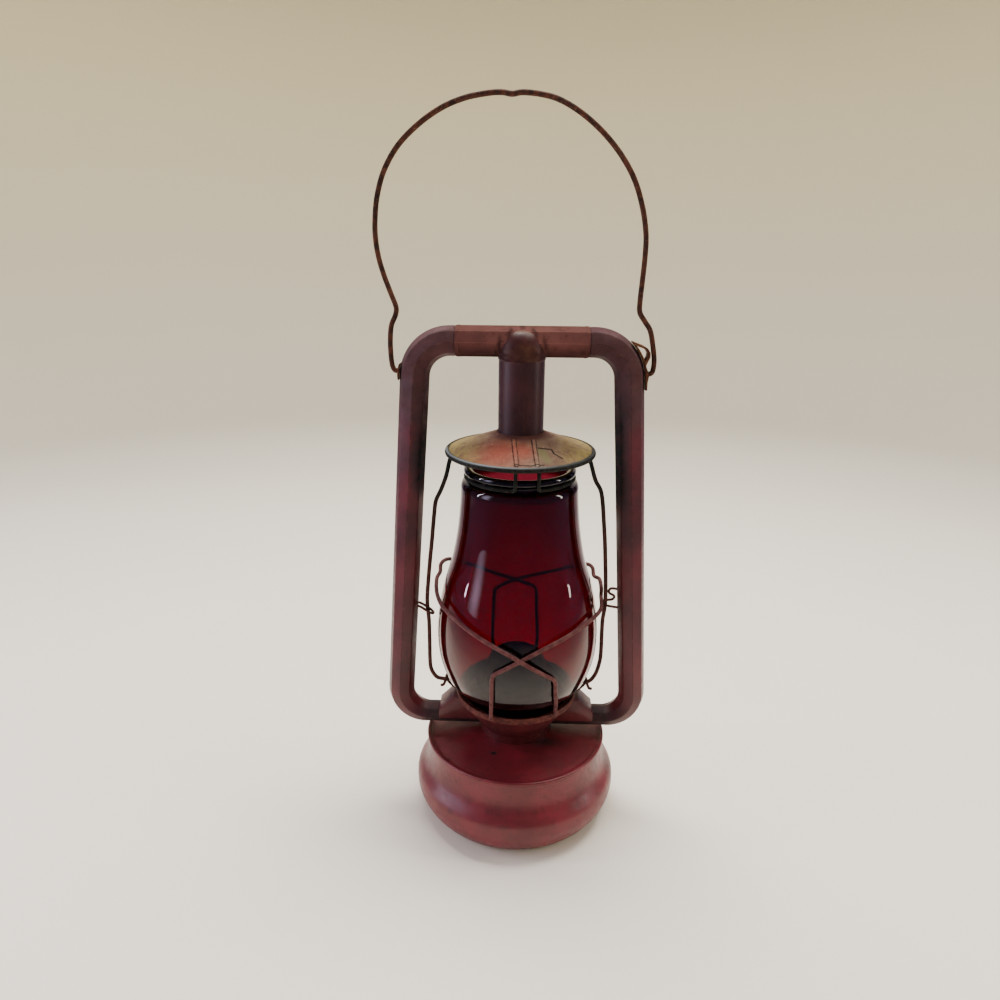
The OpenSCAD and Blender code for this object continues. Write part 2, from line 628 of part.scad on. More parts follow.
// Twisted loop that ties a lift wire's end to the plate's rim, right-hand side
module plate_loop() wire(smooth([
  [plate_r + 1.2, 0, plate_z + 1.4], [45, 1.2, plate_z + 1.6], [48.6, 2.6, plate_z + 4.4],
  [49.6, 3, 93.8], [49.4, 2.2, 96.8], [49.4, 0, 98], [49.8, -2.2, 96.8], [50.6, -3, 94.2],
  [51.8, -2.2, 91.4], [53.6, -1, 90.2]
], 3), 1);
module right_plate_loop() color("dimgray") plate_loop();
module left_plate_loop() color("dimgray") mirror([1, 0, 0]) plate_loop();

// Canopy: a shallow cone with a collar, a rolled rim and two front ribs
canopy_sheet = 0.7;
canopy_bore_r = chimney_r + slide_gap;
canopy_edge_r = canopy_r - canopy_bead_r + 0.5;
canopy_edge_z = canopy_rim_z + canopy_bead_r - 0.3;
canopy_neck_r = canopy_bore_r + 1.4;
// Underside of the canopy's sheet at a radius
function canopy_under(r) = canopy_edge_z - canopy_sheet
  + (canopy_top_z - canopy_edge_z) * (canopy_edge_r - r) / (canopy_edge_r - canopy_neck_r);
// The front ribs: radius, both ends as distances from the axis and heights, and their slope
rib_r = 1.1;
rib_low = [sqrt(canopy_r * canopy_r - rib_half * rib_half) - 0.6, canopy_rim_z + canopy_bead_r - 1];
rib_high = [sqrt(pow(canopy_bore_r + 2, 2) - rib_half * rib_half) + 1, canopy_top_z - 0.9];
rib_slope = (rib_high.y - rib_low.y) / (rib_low.x - rib_high.x);
function rib_under(y) = rib_low.y + (rib_low.x - y) * rib_slope - rib_r * sqrt(1 + rib_slope * rib_slope);
module front_rib(x) translate([x, -rib_low.x, rib_low.y]) rotate([atan(rib_slope) - 90, 0, 0])
  cylinder(r = rib_r, h = norm(rib_high - rib_low));
module canopy() color("peru") difference() {
  union() {
    turned([
      [canopy_bore_r, canopy_top_z - canopy_sheet], [canopy_neck_r, canopy_top_z - canopy_sheet],
      [canopy_edge_r, canopy_edge_z - canopy_sheet], [canopy_edge_r, canopy_edge_z],
      [canopy_neck_r, canopy_top_z], [canopy_bore_r + canopy_sheet, canopy_top_z + 0.9],
      [canopy_bore_r, canopy_top_z + 0.9]
    ]);
    rotate_extrude() translate([canopy_r, canopy_rim_z]) circle(r = canopy_bead_r, $fn = 32);
    rotate(globe_turn) {
      front_rib(-rib_half);
      front_rib(rib_half);
    }
  }
  rotate_extrude() translate([canopy_r, canopy_rim_z]) circle(r = rim_wire_r + fit, $fn = 32);
}
module canopy_rim_wire() color("dimgray")
  rotate_extrude() translate([canopy_r, canopy_rim_z]) circle(r = rim_wire_r, $fn = 32);

// Lift wires from the canopy down past their guides to the plate, as [x, z] points
lift_hook_x = canopy_r - canopy_bead_r - lift_wire_r - 0.2;
lift_hook_z = canopy_under(lift_hook_x + lift_wire_r) - 0.1;
left_lift_points = [
  [-lift_hook_x, lift_hook_z], [-lift_hook_x - 0.4, canopy_rim_z - 2.4], [-45.8, 255.5],
  [-48, 246], [-51.5, 236.5], [-54.9, 229], [-56.2, 220], [-58.1, 201],
  [-59.7, 186.5], [-61.2, 171], [-62.2, 158], [-61.9, 149], [-61.3, 141], [-61.2, 126],
  [-61.2, 110], [-60.4, 102.5], [-57, 96.6], [-52.5, 95], [-47.5, 94.6]
];
right_lift_points = [
  [lift_hook_x, lift_hook_z], [lift_hook_x + 0.4, canopy_rim_z - 2.4], [46, 255], [49, 245],
  [52.8, 238], [54.6, 229], [55.9, 217], [57.3, 203.5],
  [58.4, 189], [59.4, 174.5], [60, 160], [59.8, 153], [58.9, 145], [58.8, 136], [59, 121],
  [58.6, 112.5], [56.8, 104], [54.2, 98.4], [51.2, 95.4], [47.5, 94.4]
];
module lift_wire(points) wire(smooth([for (p = points) [p.x, 0, p.y]], 3), lift_wire_r);
module lift_wire_left() color("dimgray") lift_wire(left_lift_points);
module lift_wire_right() color("dimgray") lift_wire(right_lift_points);

// Guides on the side tubes: a staple on the left, a fork with a curled tail on the right
guide_y = 2.7;
function tube_middle(z) = top_half + (bar_z - z) * tan(splay);
function tube_inner_face(z) = tube_middle(z) - leg_half(z) / cos(splay) + guide_y * tan(22.5);
// How far a guide's end stays off the tube's slanted face, measured at its middle
guide_seat = guide_wire_r * 0.65;
module left_guide() color("dimgray") {
  x = tube_inner_face(154) - guide_seat;
  wire(smooth([
    [-x, -guide_y, 153.6], [-65.5, -guide_y, 152], [-61.5, -guide_y, 149.2], [-59.1, -1.9, 147.6],
    [-58.1, 0, 147], [-59.1, 1.9, 147.6], [-61.5, guide_y, 149.2], [-65.5, guide_y, 152],
    [-x, guide_y, 153.6]
  ], 3), guide_wire_r);
}
module right_guide() color("dimgray") {
  x = tube_inner_face(156) - guide_seat;
  wire(smooth([
    [59.8, -guide_y, 157], [63, -guide_y, 156.2], [x, -guide_y, 155.4]
  ], 3), guide_wire_r);
  wire(smooth([
    [59.8, guide_y, 158.2], [62.6, guide_y, 158.4], [65, guide_y, 158.9], [66.3, guide_y, 160.6],
    [65.3, guide_y, 162.2], [63.2, guide_y, 163.2], [62.3, guide_y, 165], [63.4, guide_y, 166.8],
    [65.9, guide_y, 167], [tube_inner_face(166.6) - guide_seat, guide_y, 166.6]
  ], 4), guide_wire_r);
}

// Ring round the globe's neck, with two front legs that reach up under the canopy's ribs
ring_arc_steps = 30;
ring_open = leg_angle + 3;
ring_leg_r = lip_r + ring_wire_r + 0.5;
ring_leg_top = rib_under(ring_leg_r * cos(leg_angle) + ring_wire_r) - 0.1;
module neck_ring() color("dimgray") rotate(globe_turn) wire(concat(
  smooth([
    polar(leg_angle, ring_leg_r, ring_leg_top), polar(leg_angle, ring_leg_r, lip_top + 4),
    polar(leg_angle, ring_leg_r, lip_top - 2), polar(leg_angle + 0.6, ring_leg_r - 0.9, ring_z + 1.2)
  ], 3),
  [for (i = [0 : ring_arc_steps])
    polar(ring_open + (360 - 2 * ring_open) * i / ring_arc_steps, ring_r, ring_z)],
  smooth([
    polar(-leg_angle - 0.6, ring_leg_r - 0.9, ring_z + 1.2), polar(-leg_angle, ring_leg_r, lip_top - 2),
    polar(-leg_angle, ring_leg_r, lip_top + 4), polar(-leg_angle, ring_leg_r, ring_leg_top)
  ], 3)
), ring_wire_r);

// Guard wires: [angle from the guard's front, height, extra stand-off from the glass].
// Each runs from a front foot over the other wire, round one side and down to a rear foot.
foot_z = plate_z + 2.5;
foot_gap = 0.1 - guard_gap;
right_guard_points = [
  [-29, foot_z, foot_gap], [-28.7, foot_z + 3, 0], [-28.2, 97, 0], [-25.2, 104.5, 0],
  [-23.8, 113, 0], [-22.9, 124, 0],
  [-22.5, 129.3, 0], [-20.8, 133, 0], [-13.5, 137.9, 0], [-4.9, 143.1, 0], [4.1, 147.9, 0],
  [14.2, 152, 0.2], [25.5, 155.3, 0.5], [39, 158, 1],
  [53, 159.6, 1.8], [66, 159.2, 2.3], [76, 159.2, 2.5], [85, 161.5, 2.9], [87, 166.5, 4.2],
  [94, 170, 5.2], [103, 168.8, 4.3], [107, 173.2, 6], [114, 173.2, 5.8], [126, 169, 3.4],
  [140, 162, 1.2], [158, 154.5, 1.6], [173, 148.3, 2.8], [184, 145, 1.4], [190.6, 142.2, 0.2],
  [192, 138.5, 0], [192.5, 127, 0], [194, 113, 0], [195.5, 104.5, 0], [197, 97, 0], [198, foot_z + 3, 0],
  [198, foot_z, foot_gap]
];
left_guard_points = [
  [30.9, foot_z, foot_gap], [30.4, foot_z + 3, 0], [29.2, 97, 0], [24.2, 104.5, 0],
  [21.3, 113, 0], [19.8, 121, 0],
  [19, 125.5, 0], [16.6, 128.9, 0.4], [8.4, 135, 1.3], [1.3, 140.3, 2.1], [-4.9, 144.8, 2.8],
  [-12, 149, 2.7], [-20, 152.4, 2.2], [-30, 155.8, 1.4], [-42, 159.6, 1.3], [-55, 163.4, 2],
  [-68, 165.7, 2.5], [-80, 167.4, 2.5], [-90, 168.9, 2.8], [-98, 169.8, 3.4], [-104, 170.8, 4.2],
  [-112, 171.6, 4.6], [-115.5, 175.8, 6.6], [-122, 176.8, 6.4],
  [-131, 174, 5.2], [-147, 166.5, 2.6], [-163, 158, 0.8], [-175, 152.8, 0.7], [-187, 148.3, 0],
  [-197, 145.5, 0],
  [-200.5, 143.6, 0], [-202, 139.5, 0], [-202.5, 127, 0], [-204, 113, 0], [-205.5, 104.5, 0], [-207, 97, 0],
  [-209, foot_z + 3, 0], [-209, foot_z, foot_gap]
];
// Radius that keeps a guard wire clear of the glass, measured square to its slope, and of the rim
guard_off = guard_wire_r + guard_gap;
function glass_slope(z) = (glass_at(z + 1) - glass_at(z - 1)) / 2;
function guard_radius(z) =
  max(glass_at(z) + guard_off * sqrt(1 + pow(glass_slope(z), 2)), plate_r + guard_off);
function guard_route(points) = [for (p = points) polar(p[0], guard_radius(p[1]) + p[2], p[1])];
module guard_wire(points) rotate(globe_turn) wire(smooth(guard_route(points), 3), guard_wire_r);
module guard_wire_right() color("indianred") guard_wire(right_guard_points);
module guard_wire_left() color("indianred") guard_wire(left_guard_points);

// Bail: its arch as [share of the pins' distance from the middle, height above the pins],
// with a round pin at each end for the ears
function ear_face() = tube_outer_face(bail_pivot_z);
bail_reach = ear_face() + 3.45;
bail_points = [
  [-0.99, 0], [-1.0062, 1.5], [-1.0175, 5], [-1.0227, 11], [-1.0227, 19], [-1.0101, 27.5], [-0.9761, 33.8],
  [-0.9698, 38.5], [-1.0038, 46], [-1.0516, 56.5], [-1.0882, 67], [-1.1058, 77.5], [-1.1045, 88],
  [-1.0819, 101], [-1.0239, 114.8], [-0.9169, 128], [-0.7657, 139], [-0.6008, 147.3], [-0.437, 152.3],
  [-0.2771, 154.7], [-0.1763, 155.2], [-0.1008, 154.4], [-0.0252, 155.2], [0.1008, 154.3],
  [0.2267, 151.8], [0.3778, 145.6], [0.539, 135.8], [0.6776, 124.1], [0.7859, 111], [0.8577, 96],
  [0.8955, 81.3], [0.8992, 68.5], [0.8917, 55.5], [0.8841, 43.7], [0.8879, 37], [0.9307, 31.6],
  [0.9773, 26], [1.0076, 16], [1.0227, 8], [1.0176, 2], [1, 0]
];
module bail() color("dimgray") {
  wire(smooth([for (p = bail_points) [p.x * bail_reach, 0, bail_pivot_z + p.y]], 2), bail_wire_r, 10);
  for (s = [0, 1]) mirror([s, 0, 0]) translate([ear_face() + seat_gap, 0, bail_pivot_z])
    rotate([0, 90, 0]) cylinder(r = bail_wire_r, h = bail_reach + 0.4 - s - ear_face() - seat_gap);
}

// Ears: straps on the tubes' outer faces, pierced for the bail's pins.
// The right-hand strap is longer and is also bent out into a loop above the pivot.
ear_w = 8;
ear_gap = 0.12;
function tube_outer_face(z) = tube_middle(z) + leg_half(z) / cos(splay);
module strap(points) rotate([90, 0, 0]) linear_extrude(height = ear_w, center = true) polygon(points);
// A point by its height over the pins and its distance off the tube below them
function off_face(dz, off) = [tube_outer_face(bail_pivot_z + dz) + off, bail_pivot_z + dz];
// A point by its angle round the top bend, from straight up, and its distance off the bend's outside
function off_bend(angle, off) = [top_half - top_used, bar_z - top_bend_r]
  + (top_bend_r + tube_r + off) * [sin(angle), cos(angle)];
module pierced(points) difference() {
  strap(points);
  translate([ear_face() - 5, 0, bail_pivot_z]) rotate([0, 90, 0])
    cylinder(r = bail_wire_r + running, h = bail_reach - ear_face() + 10);
}
right_strap = concat(
  [off_face(-10, ear_gap), off_face(-9.4, 1.1), off_face(-5, 1.3), off_face(-2, 2),
    off_bend(84.2, 2.2), off_bend(80, 1.7), off_bend(76, 1.25)],
  [for (a = [70 : -6 : 52]) off_bend(a, 1.2)],
  [off_bend(46, 1.05), off_bend(44.5, 0.6), off_bend(44.5, ear_gap)],
  [for (a = [49 : 5 : 84]) off_bend(a, ear_gap)], [off_face(-2, ear_gap), off_face(-6, ear_gap)]
);
ear_loop = [
  off_bend(75, 0.7), off_bend(70.5, 2.9), off_bend(67.2, 5), off_bend(63.5, 6), off_bend(59, 5.8),
  off_bend(54.8, 4.5), off_bend(51, 2.9), off_bend(47, 1.6), off_bend(44.5, 1), off_bend(44.5, 0.3),
  off_bend(48.5, 0.7), off_bend(52.3, 1.7), off_bend(56, 3.3), off_bend(59.6, 4.3), off_bend(63, 4.4),
  off_bend(65.8, 3.4), off_bend(68.6, 1.6), off_bend(72, 0.5)
];
left_strap = concat(
  [off_face(-5.6, ear_gap), off_face(-4.8, 0.8), off_face(-2, 1.15), off_bend(83.4, 1.2), off_bend(79, 1.1),
    off_bend(75.4, 0.8), off_bend(74.2, ear_gap)],
  [off_bend(79, ear_gap), off_bend(84, ear_gap), off_face(-2, ear_gap)]
);
module right_ear() color("dimgray") {
  pierced(right_strap);
  strap(ear_loop);
}
module left_ear() color("dimgray") mirror([1, 0, 0]) pierced(left_strap);

fount_side();
fount_top();
fount_bottom();
filler_neck();
filler_gasket();
filler_cap();
air_chamber();
left_side_tube();
right_side_tube();
top_crossbar();
centre_tube();
left_ear();
right_ear();
bail();
left_guide();
right_guide();
burner_collar();
burner_body();
burner_cone();
wick_tube();
wick();
raiser_shaft();
wick_spurs();
wick_knob();
canopy();
canopy_rim_wire();
lift_wire_left();
lift_wire_right();
globe_plate();
left_plate_loop();
right_plate_loop();
globe();
neck_ring();
guard_wire_right();
guard_wire_left();
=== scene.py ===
# %% [markdown]
# # A kerosene lantern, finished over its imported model
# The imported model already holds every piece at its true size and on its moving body. This lesson
# gives each piece its looks: sheet metal with rolled edges and rounded folds, round wire, thick
# ruby glass, and paint that has aged. Nothing here moves or resizes the model underneath.

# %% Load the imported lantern
from math import cos, pi, radians, sin, tan

import bpy
import numpy as np
from mathutils import Matrix


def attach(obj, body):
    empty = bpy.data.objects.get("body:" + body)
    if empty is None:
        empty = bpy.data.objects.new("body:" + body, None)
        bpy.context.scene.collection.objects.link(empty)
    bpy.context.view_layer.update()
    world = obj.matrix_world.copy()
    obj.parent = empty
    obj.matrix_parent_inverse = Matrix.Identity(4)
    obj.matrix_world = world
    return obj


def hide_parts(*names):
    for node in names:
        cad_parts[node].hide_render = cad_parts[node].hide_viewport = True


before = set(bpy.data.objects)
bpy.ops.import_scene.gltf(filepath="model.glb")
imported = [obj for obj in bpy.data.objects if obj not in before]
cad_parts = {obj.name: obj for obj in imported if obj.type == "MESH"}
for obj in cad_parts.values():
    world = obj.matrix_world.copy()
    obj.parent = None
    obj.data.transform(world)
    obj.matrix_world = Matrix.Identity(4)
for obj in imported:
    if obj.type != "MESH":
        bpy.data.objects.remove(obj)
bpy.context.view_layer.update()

MM = 0.001

# %% [markdown]
# ## The camera
# The photograph was taken from a hand's height above the lantern, looking down on it. A tracked
# or a freely placed camera would both do; here the lens, the place and the three angles come
# from lines of the lantern whose real lengths are known, so every outline falls where it should.

# %% Camera
camera_place = np.array([0.0, -467.64, 385.95]) * MM
look_down, look_left, tilt = radians(18.42), radians(-1.56), radians(0.55)
focal_px, frame_px, sensor_mm = 751.0, 1000.0, 36.0


def view_axes(down, turn, roll):
    """Right, up and back of a camera: level axes turned about the vertical, then dipped by down,
    then rolled about the line of sight."""
    ahead = np.array([sin(turn) * cos(down), cos(turn) * cos(down), -sin(down)])
    level = np.array([cos(turn), -sin(turn), 0.0])
    upward = np.cross(level, ahead)
    right = level * cos(roll) + upward * sin(roll)
    return np.array([right, upward * cos(roll) - level * sin(roll), -ahead])


lens = bpy.data.cameras.new("camera")
lens.sensor_fit, lens.sensor_width = "HORIZONTAL", sensor_mm
lens.lens = focal_px / frame_px * sensor_mm
lens.clip_start = 0.01
camera = bpy.data.objects.new("camera", lens)
pose = np.eye(4)
pose[:3, :3] = view_axes(look_down, look_left, tilt).T
pose[:3, 3] = camera_place
camera.matrix_world = Matrix(pose.tolist())
bpy.context.scene.collection.objects.link(camera)
bpy.context.scene.camera = camera
print("lens", round(lens.lens, 2), "mm")

# %% [markdown]
# ## From arrays to meshes
# Nearly every piece is a line carried along a path: an outline turned round the axis, a folded
# section carried along a bent tube, or a circle carried along a wire. All of them end as a grid
# of points, so one function turns a grid into a mesh, closes it and faces it outwards.


# %% Grid to mesh
def enclosed_volume(points, faces):
    """Signed volume inside quads: a sixth of the sum of each triangle's corner a dotted with
    b cross c. It is negative where the faces point inwards."""
    a, b, c, d = (points[faces[:, k]] for k in range(4))
    first = np.einsum("ij,ij->", a, np.cross(b, c))
    return (first + np.einsum("ij,ij->", a, np.cross(c, d))) / 6


def surface(name, grid, finish, loop_rows=False, caps=False, fields=None, crease=40):
    """A mesh from a grid of points in mm, rows by columns by 3. Each cell between neighbours is
    one face; columns always join round, rows join if loop_rows, and caps close the two ends."""
    rows, columns = grid.shape[:2]
    i, j = np.meshgrid(np.arange(rows if loop_rows else rows - 1), np.arange(columns), indexing="ij")
    below, beside = (i + 1) % rows, (j + 1) % columns
    quads = np.stack([i * columns + j, i * columns + beside, below * columns + beside,
                      below * columns + j], -1).reshape(-1, 4)
    points = grid.reshape(-1, 3)
    ends = [list(range(columns))[::-1], list(range((rows - 1) * columns, rows * columns))]
    if enclosed_volume(points, quads) < 0:
        quads, ends = quads[:, ::-1], [end[::-1] for end in ends]
    mesh = bpy.data.meshes.new(name)
    mesh.from_pydata((points * MM).tolist(), [], quads.tolist() + (ends if caps else []))
    for field, values in (fields or {}).items():
        layer = mesh.attributes.new(field, "FLOAT", "POINT")
        layer.data.foreach_set("value", np.asarray(values, np.float32).ravel())
    mesh.shade_smooth()
    mesh.set_sharp_from_angle(angle=radians(crease))
    mesh.materials.append(finish)
    piece = bpy.data.objects.new(name, mesh)
    bpy.context.scene.collection.objects.link(piece)
    return piece


def turned(name, outline, finish, steps=192, turns=None, bulge=None, **options):
    """An outline of [radius, height] points turned round the axis, and closed on itself. bulge
    takes the angle and the outline's points and gives what is added to radius and height."""
    angle = np.linspace(0, 2 * pi, steps, endpoint=False) if turns is None else turns
    radius, height = (np.repeat(np.asarray(outline, float)[:, k:k + 1], len(angle), 1) for k in (0, 1))
    angle = np.broadcast_to(angle, radius.shape)
    if bulge:
        more_r, more_z = bulge(angle, radius, height)
        radius, height = radius + more_r, height + more_z
    grid = np.stack([radius * np.sin(angle), -radius * np.cos(angle), height], -1)
    return surface(name, grid, finish, loop_rows=True, **options)


def smooth(points, steps):
    """A smooth line through chosen points. Between b and c, with neighbours a and d, the
    point at t is half of 2b + (c - a) t + (2a - 5b + 4c - d) t^2 + (3b - a - 3c + d) t^3."""
    p = np.asarray(points, float)
    k = np.arange(len(p) - 1)
    a, b, c, d = (q[:, None] for q in (p[np.maximum(k - 1, 0)], p[k], p[k + 1],
                                       p[np.minimum(k + 2, len(p) - 1)]))
    t = (np.arange(steps) / steps)[None, :, None]
    run = (2 * b + (c - a) * t + (2 * a - 5 * b + 4 * c - d) * t**2
           + (3 * b - a - 3 * c + d) * t**3) / 2
    return np.vstack([run.reshape(-1, p.shape[1]), p[-1:]])


def unit(vectors):
    """Each vector divided by its own length."""
    return vectors / np.linalg.norm(vectors, axis=-1, keepdims=True)


def wire(name, path, radius, finish, across=(0, 1, 0), sides=16):
    """A circle of the given radius carried along a path. Its first axis is the part of across
    that is square to the path, and its second is square to both. The ends are rounded off."""
    path = np.asarray(path, float)
    along = unit(np.gradient(path, axis=0))
    across = np.broadcast_to(np.asarray(across, float), path.shape)
    lead = np.array([0.0, 0.12, 0.45])[:, None] * radius
    path = np.vstack([path[:1] + along[:1] * lead, path[1:-1], path[-1:] - along[-1:] * lead[::-1]])
    along, across = (np.vstack([v[[0, 0, 0]], v[1:-1], v[[-1, -1, -1]]]) for v in (along, across))
    size = np.full(len(path), float(radius))
    size[[0, 1, -2, -1]] *= [0.5, 0.84, 0.84, 0.5]
    first = unit(across - np.sum(across * along, -1, keepdims=True) * along)
    second = np.cross(along, first)
    angle = np.linspace(0, 2 * pi, sides, endpoint=False)[None, :, None]
    grid = path[:, None] + size[:, None, None] * (np.cos(angle) * first[:, None]
                                                  + np.sin(angle) * second[:, None])
    return surface(name, grid, finish, caps=True, crease=60)


def seat(piece, body, slot, *nodes):
    """Puts a piece on its moving body and hides the model's nodes it stands for. slot is not used."""
    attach(piece, body)
    if nodes:
        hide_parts(*nodes)
    print(piece.name, len(piece.data.polygons), "faces on", body)
    return piece


# %% [markdown]
# ## Finishes built in layers
# Old paint is not one colour: it has a ground tone, broader stains, fine grain, chips, scuffed
# edges and soot. A painted picture would tie it to one mesh, so each finish is layered from
# noise over the object's own coordinates, and a few masks are worked out with the shapes.


# %% Finish builder
def ink(red, green, blue):
    """A colour from the 0 to 255 values that a screen shows, made linear."""
    shown = np.array([red, green, blue]) / 255
    linear = np.where(shown <= 0.04045, shown / 12.92, ((shown + 0.055) / 1.055) ** 2.4)
    return (*linear.tolist(), 1.0)


class Finish:
    """One procedural material. Its place is the object's own coordinates in millimetres."""

    def __init__(self, name, settings):
        self.material = bpy.data.materials.new(name)
        self.material.use_nodes = True
        self.nodes = self.material.node_tree.nodes
        self.link = self.material.node_tree.links.new
        self.shader = self.nodes["Principled BSDF"]
        for socket, value in settings.items():
            self.shader.inputs[socket].default_value = value
        self.height = self.tone = None
        to_mm = self.nodes.new("ShaderNodeMapping")
        to_mm.inputs["Scale"].default_value = (1 / MM,) * 3
        self.link(self.nodes.new("ShaderNodeTexCoord").outputs["Object"], to_mm.inputs["Vector"])
        self.place = to_mm.outputs["Vector"]

    def noise(self, size, detail=3.0, seed=0.0, distortion=0.0):
        """Soft noise whose patches are about size mm across."""
        node = self.nodes.new("ShaderNodeTexNoise")
        node.noise_dimensions = "4D"
        settings = {"W": seed, "Scale": 1 / size, "Detail": detail, "Distortion": distortion}
        for socket, value in settings.items():
            node.inputs[socket].default_value = value
        self.link(self.place, node.inputs["Vector"])
        return node.outputs["Fac"]

    def cloud(self, size, detail, seed, low, high, to=(0.0, 1.0), distortion=0.0):
        """Noise with its values from low to high spread over a range."""
        return self.between(self.noise(size, detail, seed, distortion), low, high, to)

    def math(self, operation, a, b, clamp=True):
        """One arithmetic step between two values, held between 0 and 1 unless clamp is off."""
        node = self.nodes.new("ShaderNodeMath")
        node.operation, node.use_clamp = operation, clamp
        for k, value in enumerate((a, b)):
            if isinstance(value, (int, float)):
                node.inputs[k].default_value = value
            else:
                self.link(value, node.inputs[k])
        return node.outputs[0]

    def between(self, value, low, high, to=(0.0, 1.0)):
        """A value mapped from low..high to a range, and held there."""
        node = self.nodes.new("ShaderNodeMapRange")
        for socket, number in zip(("From Min", "From Max", "To Min", "To Max"), (low, high, *to)):
            node.inputs[socket].default_value = number
        self.link(value, node.inputs["Value"])
        return node.outputs["Result"]

    def mask(self, field):
        """A mask that was worked out with the shape."""
        node = self.nodes.new("ShaderNodeAttribute")
        node.attribute_name = field
        return node.outputs["Fac"]

    def axis(self, name):
        """One coordinate of the place, in mm."""
        node = self.nodes.new("ShaderNodeSeparateXYZ")
        self.link(self.place, node.inputs[0])
        return node.outputs[name]

    def mix(self, share, under, over):
        """The colour over laid on the colour under by a share."""
        node = self.nodes.new("ShaderNodeMix")
        node.data_type = "RGBA"
        sockets = (node.inputs[0], node.inputs[6], node.inputs[7])
        for socket, value in zip(sockets, (share, under, over)):
            if isinstance(value, (int, float, tuple)):
                socket.default_value = value
            else:
                self.link(value, socket)
        return node.outputs[2]

    def lay(self, colour, share, strength=None):
        """Lays a colour over the tone so far by a share, weakened by a strength if one is given."""
        if strength is not None:
            share = self.math("MULTIPLY", share, strength)
        self.tone = self.mix(share, self.tone, colour)

    def colour(self):
        """Gives the finished tone to the shader."""
        self.link(self.tone, self.shader.inputs["Base Color"])

    def gloss(self, value, low, high, dull=0.0):
        """Roughness from low to high as a value goes from 0 to 1, and at least the value dull."""
        rough = self.math("MAXIMUM", self.between(value, 0, 1, (low, high)), dull)
        self.link(rough, self.shader.inputs["Roughness"])

    def relief(self, value, depth):
        """Adds relief, depth in mm."""
        node = self.nodes.new("ShaderNodeBump")
        node.inputs["Distance"].default_value = depth * MM
        self.link(value, node.inputs["Height"])
        if self.height:
            self.link(self.height, node.inputs["Normal"])
        self.height = node.outputs["Normal"]
        self.link(self.height, self.shader.inputs["Normal"])


# %% [markdown]
# ### Red enamel
# The frame and fount were dipped in red enamel. Heat has browned it near the top, the folds are
# worn, and soot lies where smoke passed. Part of it is painted light: a painted highlight along
# the folds, a painted shadow at the fount's foot, and painted shade on the crossbar at the saddle's
# crease and under the bar. One recipe serves all these pieces, with the tones and the height of the
# browning given for each.


# %% Red enamel
def red_enamel(name, bright, deep, brown=ink(44, 27, 23), browned=(900, 901), shine=0.4,
               folds=(ink(30, 13, 12), 0.5, 0.45)):
    """Enamel between a bright and a deep tone, browned and dulled between two heights in mm. folds gives
    the tone along the folds, its share, and how near to a fold it starts; a pale fold tone is a painted
    highlight. Worn spots along the folds also stand in as a painted highlight, and the lowest 2 mm
    carry a painted shadow."""
    f = Finish(name, {"IOR": 1.5, "Specular IOR Level": shine})
    f.tone = f.mix(f.cloud(24, 3, 1.0, 0.35, 0.65), deep, bright)
    heat = f.math("ADD", f.between(f.axis("Z"), *browned), f.cloud(13, 3, 4.0, 0.3, 0.7, (-0.3, 0.3)))
    f.lay(brown, heat, 0.85)
    f.lay(ink(40, 16, 15), f.cloud(6, 5, 2.0, 0.52, 0.72, distortion=0.6), 0.45)
    fold_tone, fold_share, fold_start = folds
    fold = f.between(f.mask("edge"), fold_start, 1.0)
    f.lay(fold_tone, fold, fold_share)
    # Worn spots along the folds, paler, which also stand in as a painted highlight.
    edge_wear_and_highlight = f.math("MULTIPLY", f.mask("edge"), f.cloud(4, 5, 3.0, 0.5, 0.7))
    f.lay(ink(130, 86, 78), edge_wear_and_highlight, 0.3)
    # Painted shadow: the enamel darkens over the lowest 2.2 mm, where the fount stands on the floor.
    f.lay(ink(24, 10, 10), f.between(f.axis("Z"), 2.2, 0.6))
    # This mask lays near-black soot and oil stains, and on the crossbar painted shade at the saddle's crease
    # and under the bar.
    f.lay(ink(11, 13, 15), f.mask("soot_and_shade"), f.cloud(4, 4, 5.0, 0.2, 0.6, (0.6, 1.0)))
    chips = f.cloud(0.9, 2, 6.0, 0.70, 0.74)
    f.lay(ink(22, 12, 11), chips)
    f.lay(ink(150, 104, 98), f.cloud(0.55, 1, 7.0, 0.72, 0.78), 0.35)
    f.colour()
    dull = f.math("MAXIMUM", f.math("MAXIMUM", heat, fold), f.mask("soot_and_shade"))
    f.gloss(f.cloud(3, 4, 8.0, 0.3, 0.7), 0.3, 0.46, dull)
    f.relief(f.noise(0.9, 3, 9.0), 0.09)
    f.relief(f.noise(7, 2, 10.0), 0.14)
    f.relief(f.math("SUBTRACT", 1.0, chips), 0.06)
    return f.material


fount_paint = red_enamel("fount_enamel", ink(108, 29, 40), ink(85, 22, 30), shine=0.45)
chamber_paint = red_enamel("chamber_enamel", ink(84, 29, 34), ink(62, 22, 26))
tube_paint = red_enamel("tube_enamel", ink(94, 27, 36), ink(66, 18, 25), brown=ink(58, 34, 37),
                        browned=(235, 330), shine=0.5)
# The crossbar has no shine, so its pale fold tone is a painted highlight along the folds.
bar_paint = red_enamel("bar_enamel", ink(104, 66, 64), ink(80, 50, 50), brown=ink(74, 52, 46),
                       browned=(333, 345), shine=0.0, folds=(ink(140, 104, 88), 0.5, 0.75))
saddle_paint = red_enamel("saddle_enamel", ink(56, 29, 30), ink(42, 21, 23), brown=ink(112, 82, 62),
                          browned=(337.5, 341), shine=0.1)
chimney_paint = red_enamel("chimney_enamel", ink(62, 31, 34), ink(45, 23, 26), brown=ink(42, 28, 27),
                           browned=(300, 250), shine=0.3)
print("red enamel in", 6, "tones")

# %% [markdown]
# ### Burnt canopy, iron wire and strap
# The canopy's paint has burnt to tan over copper-red rust, with a green cast at its far sides
# and a bare crack. Bare iron is brown-black with warm rust in the pits. They are separate short
# recipes, since they share little but the builder.


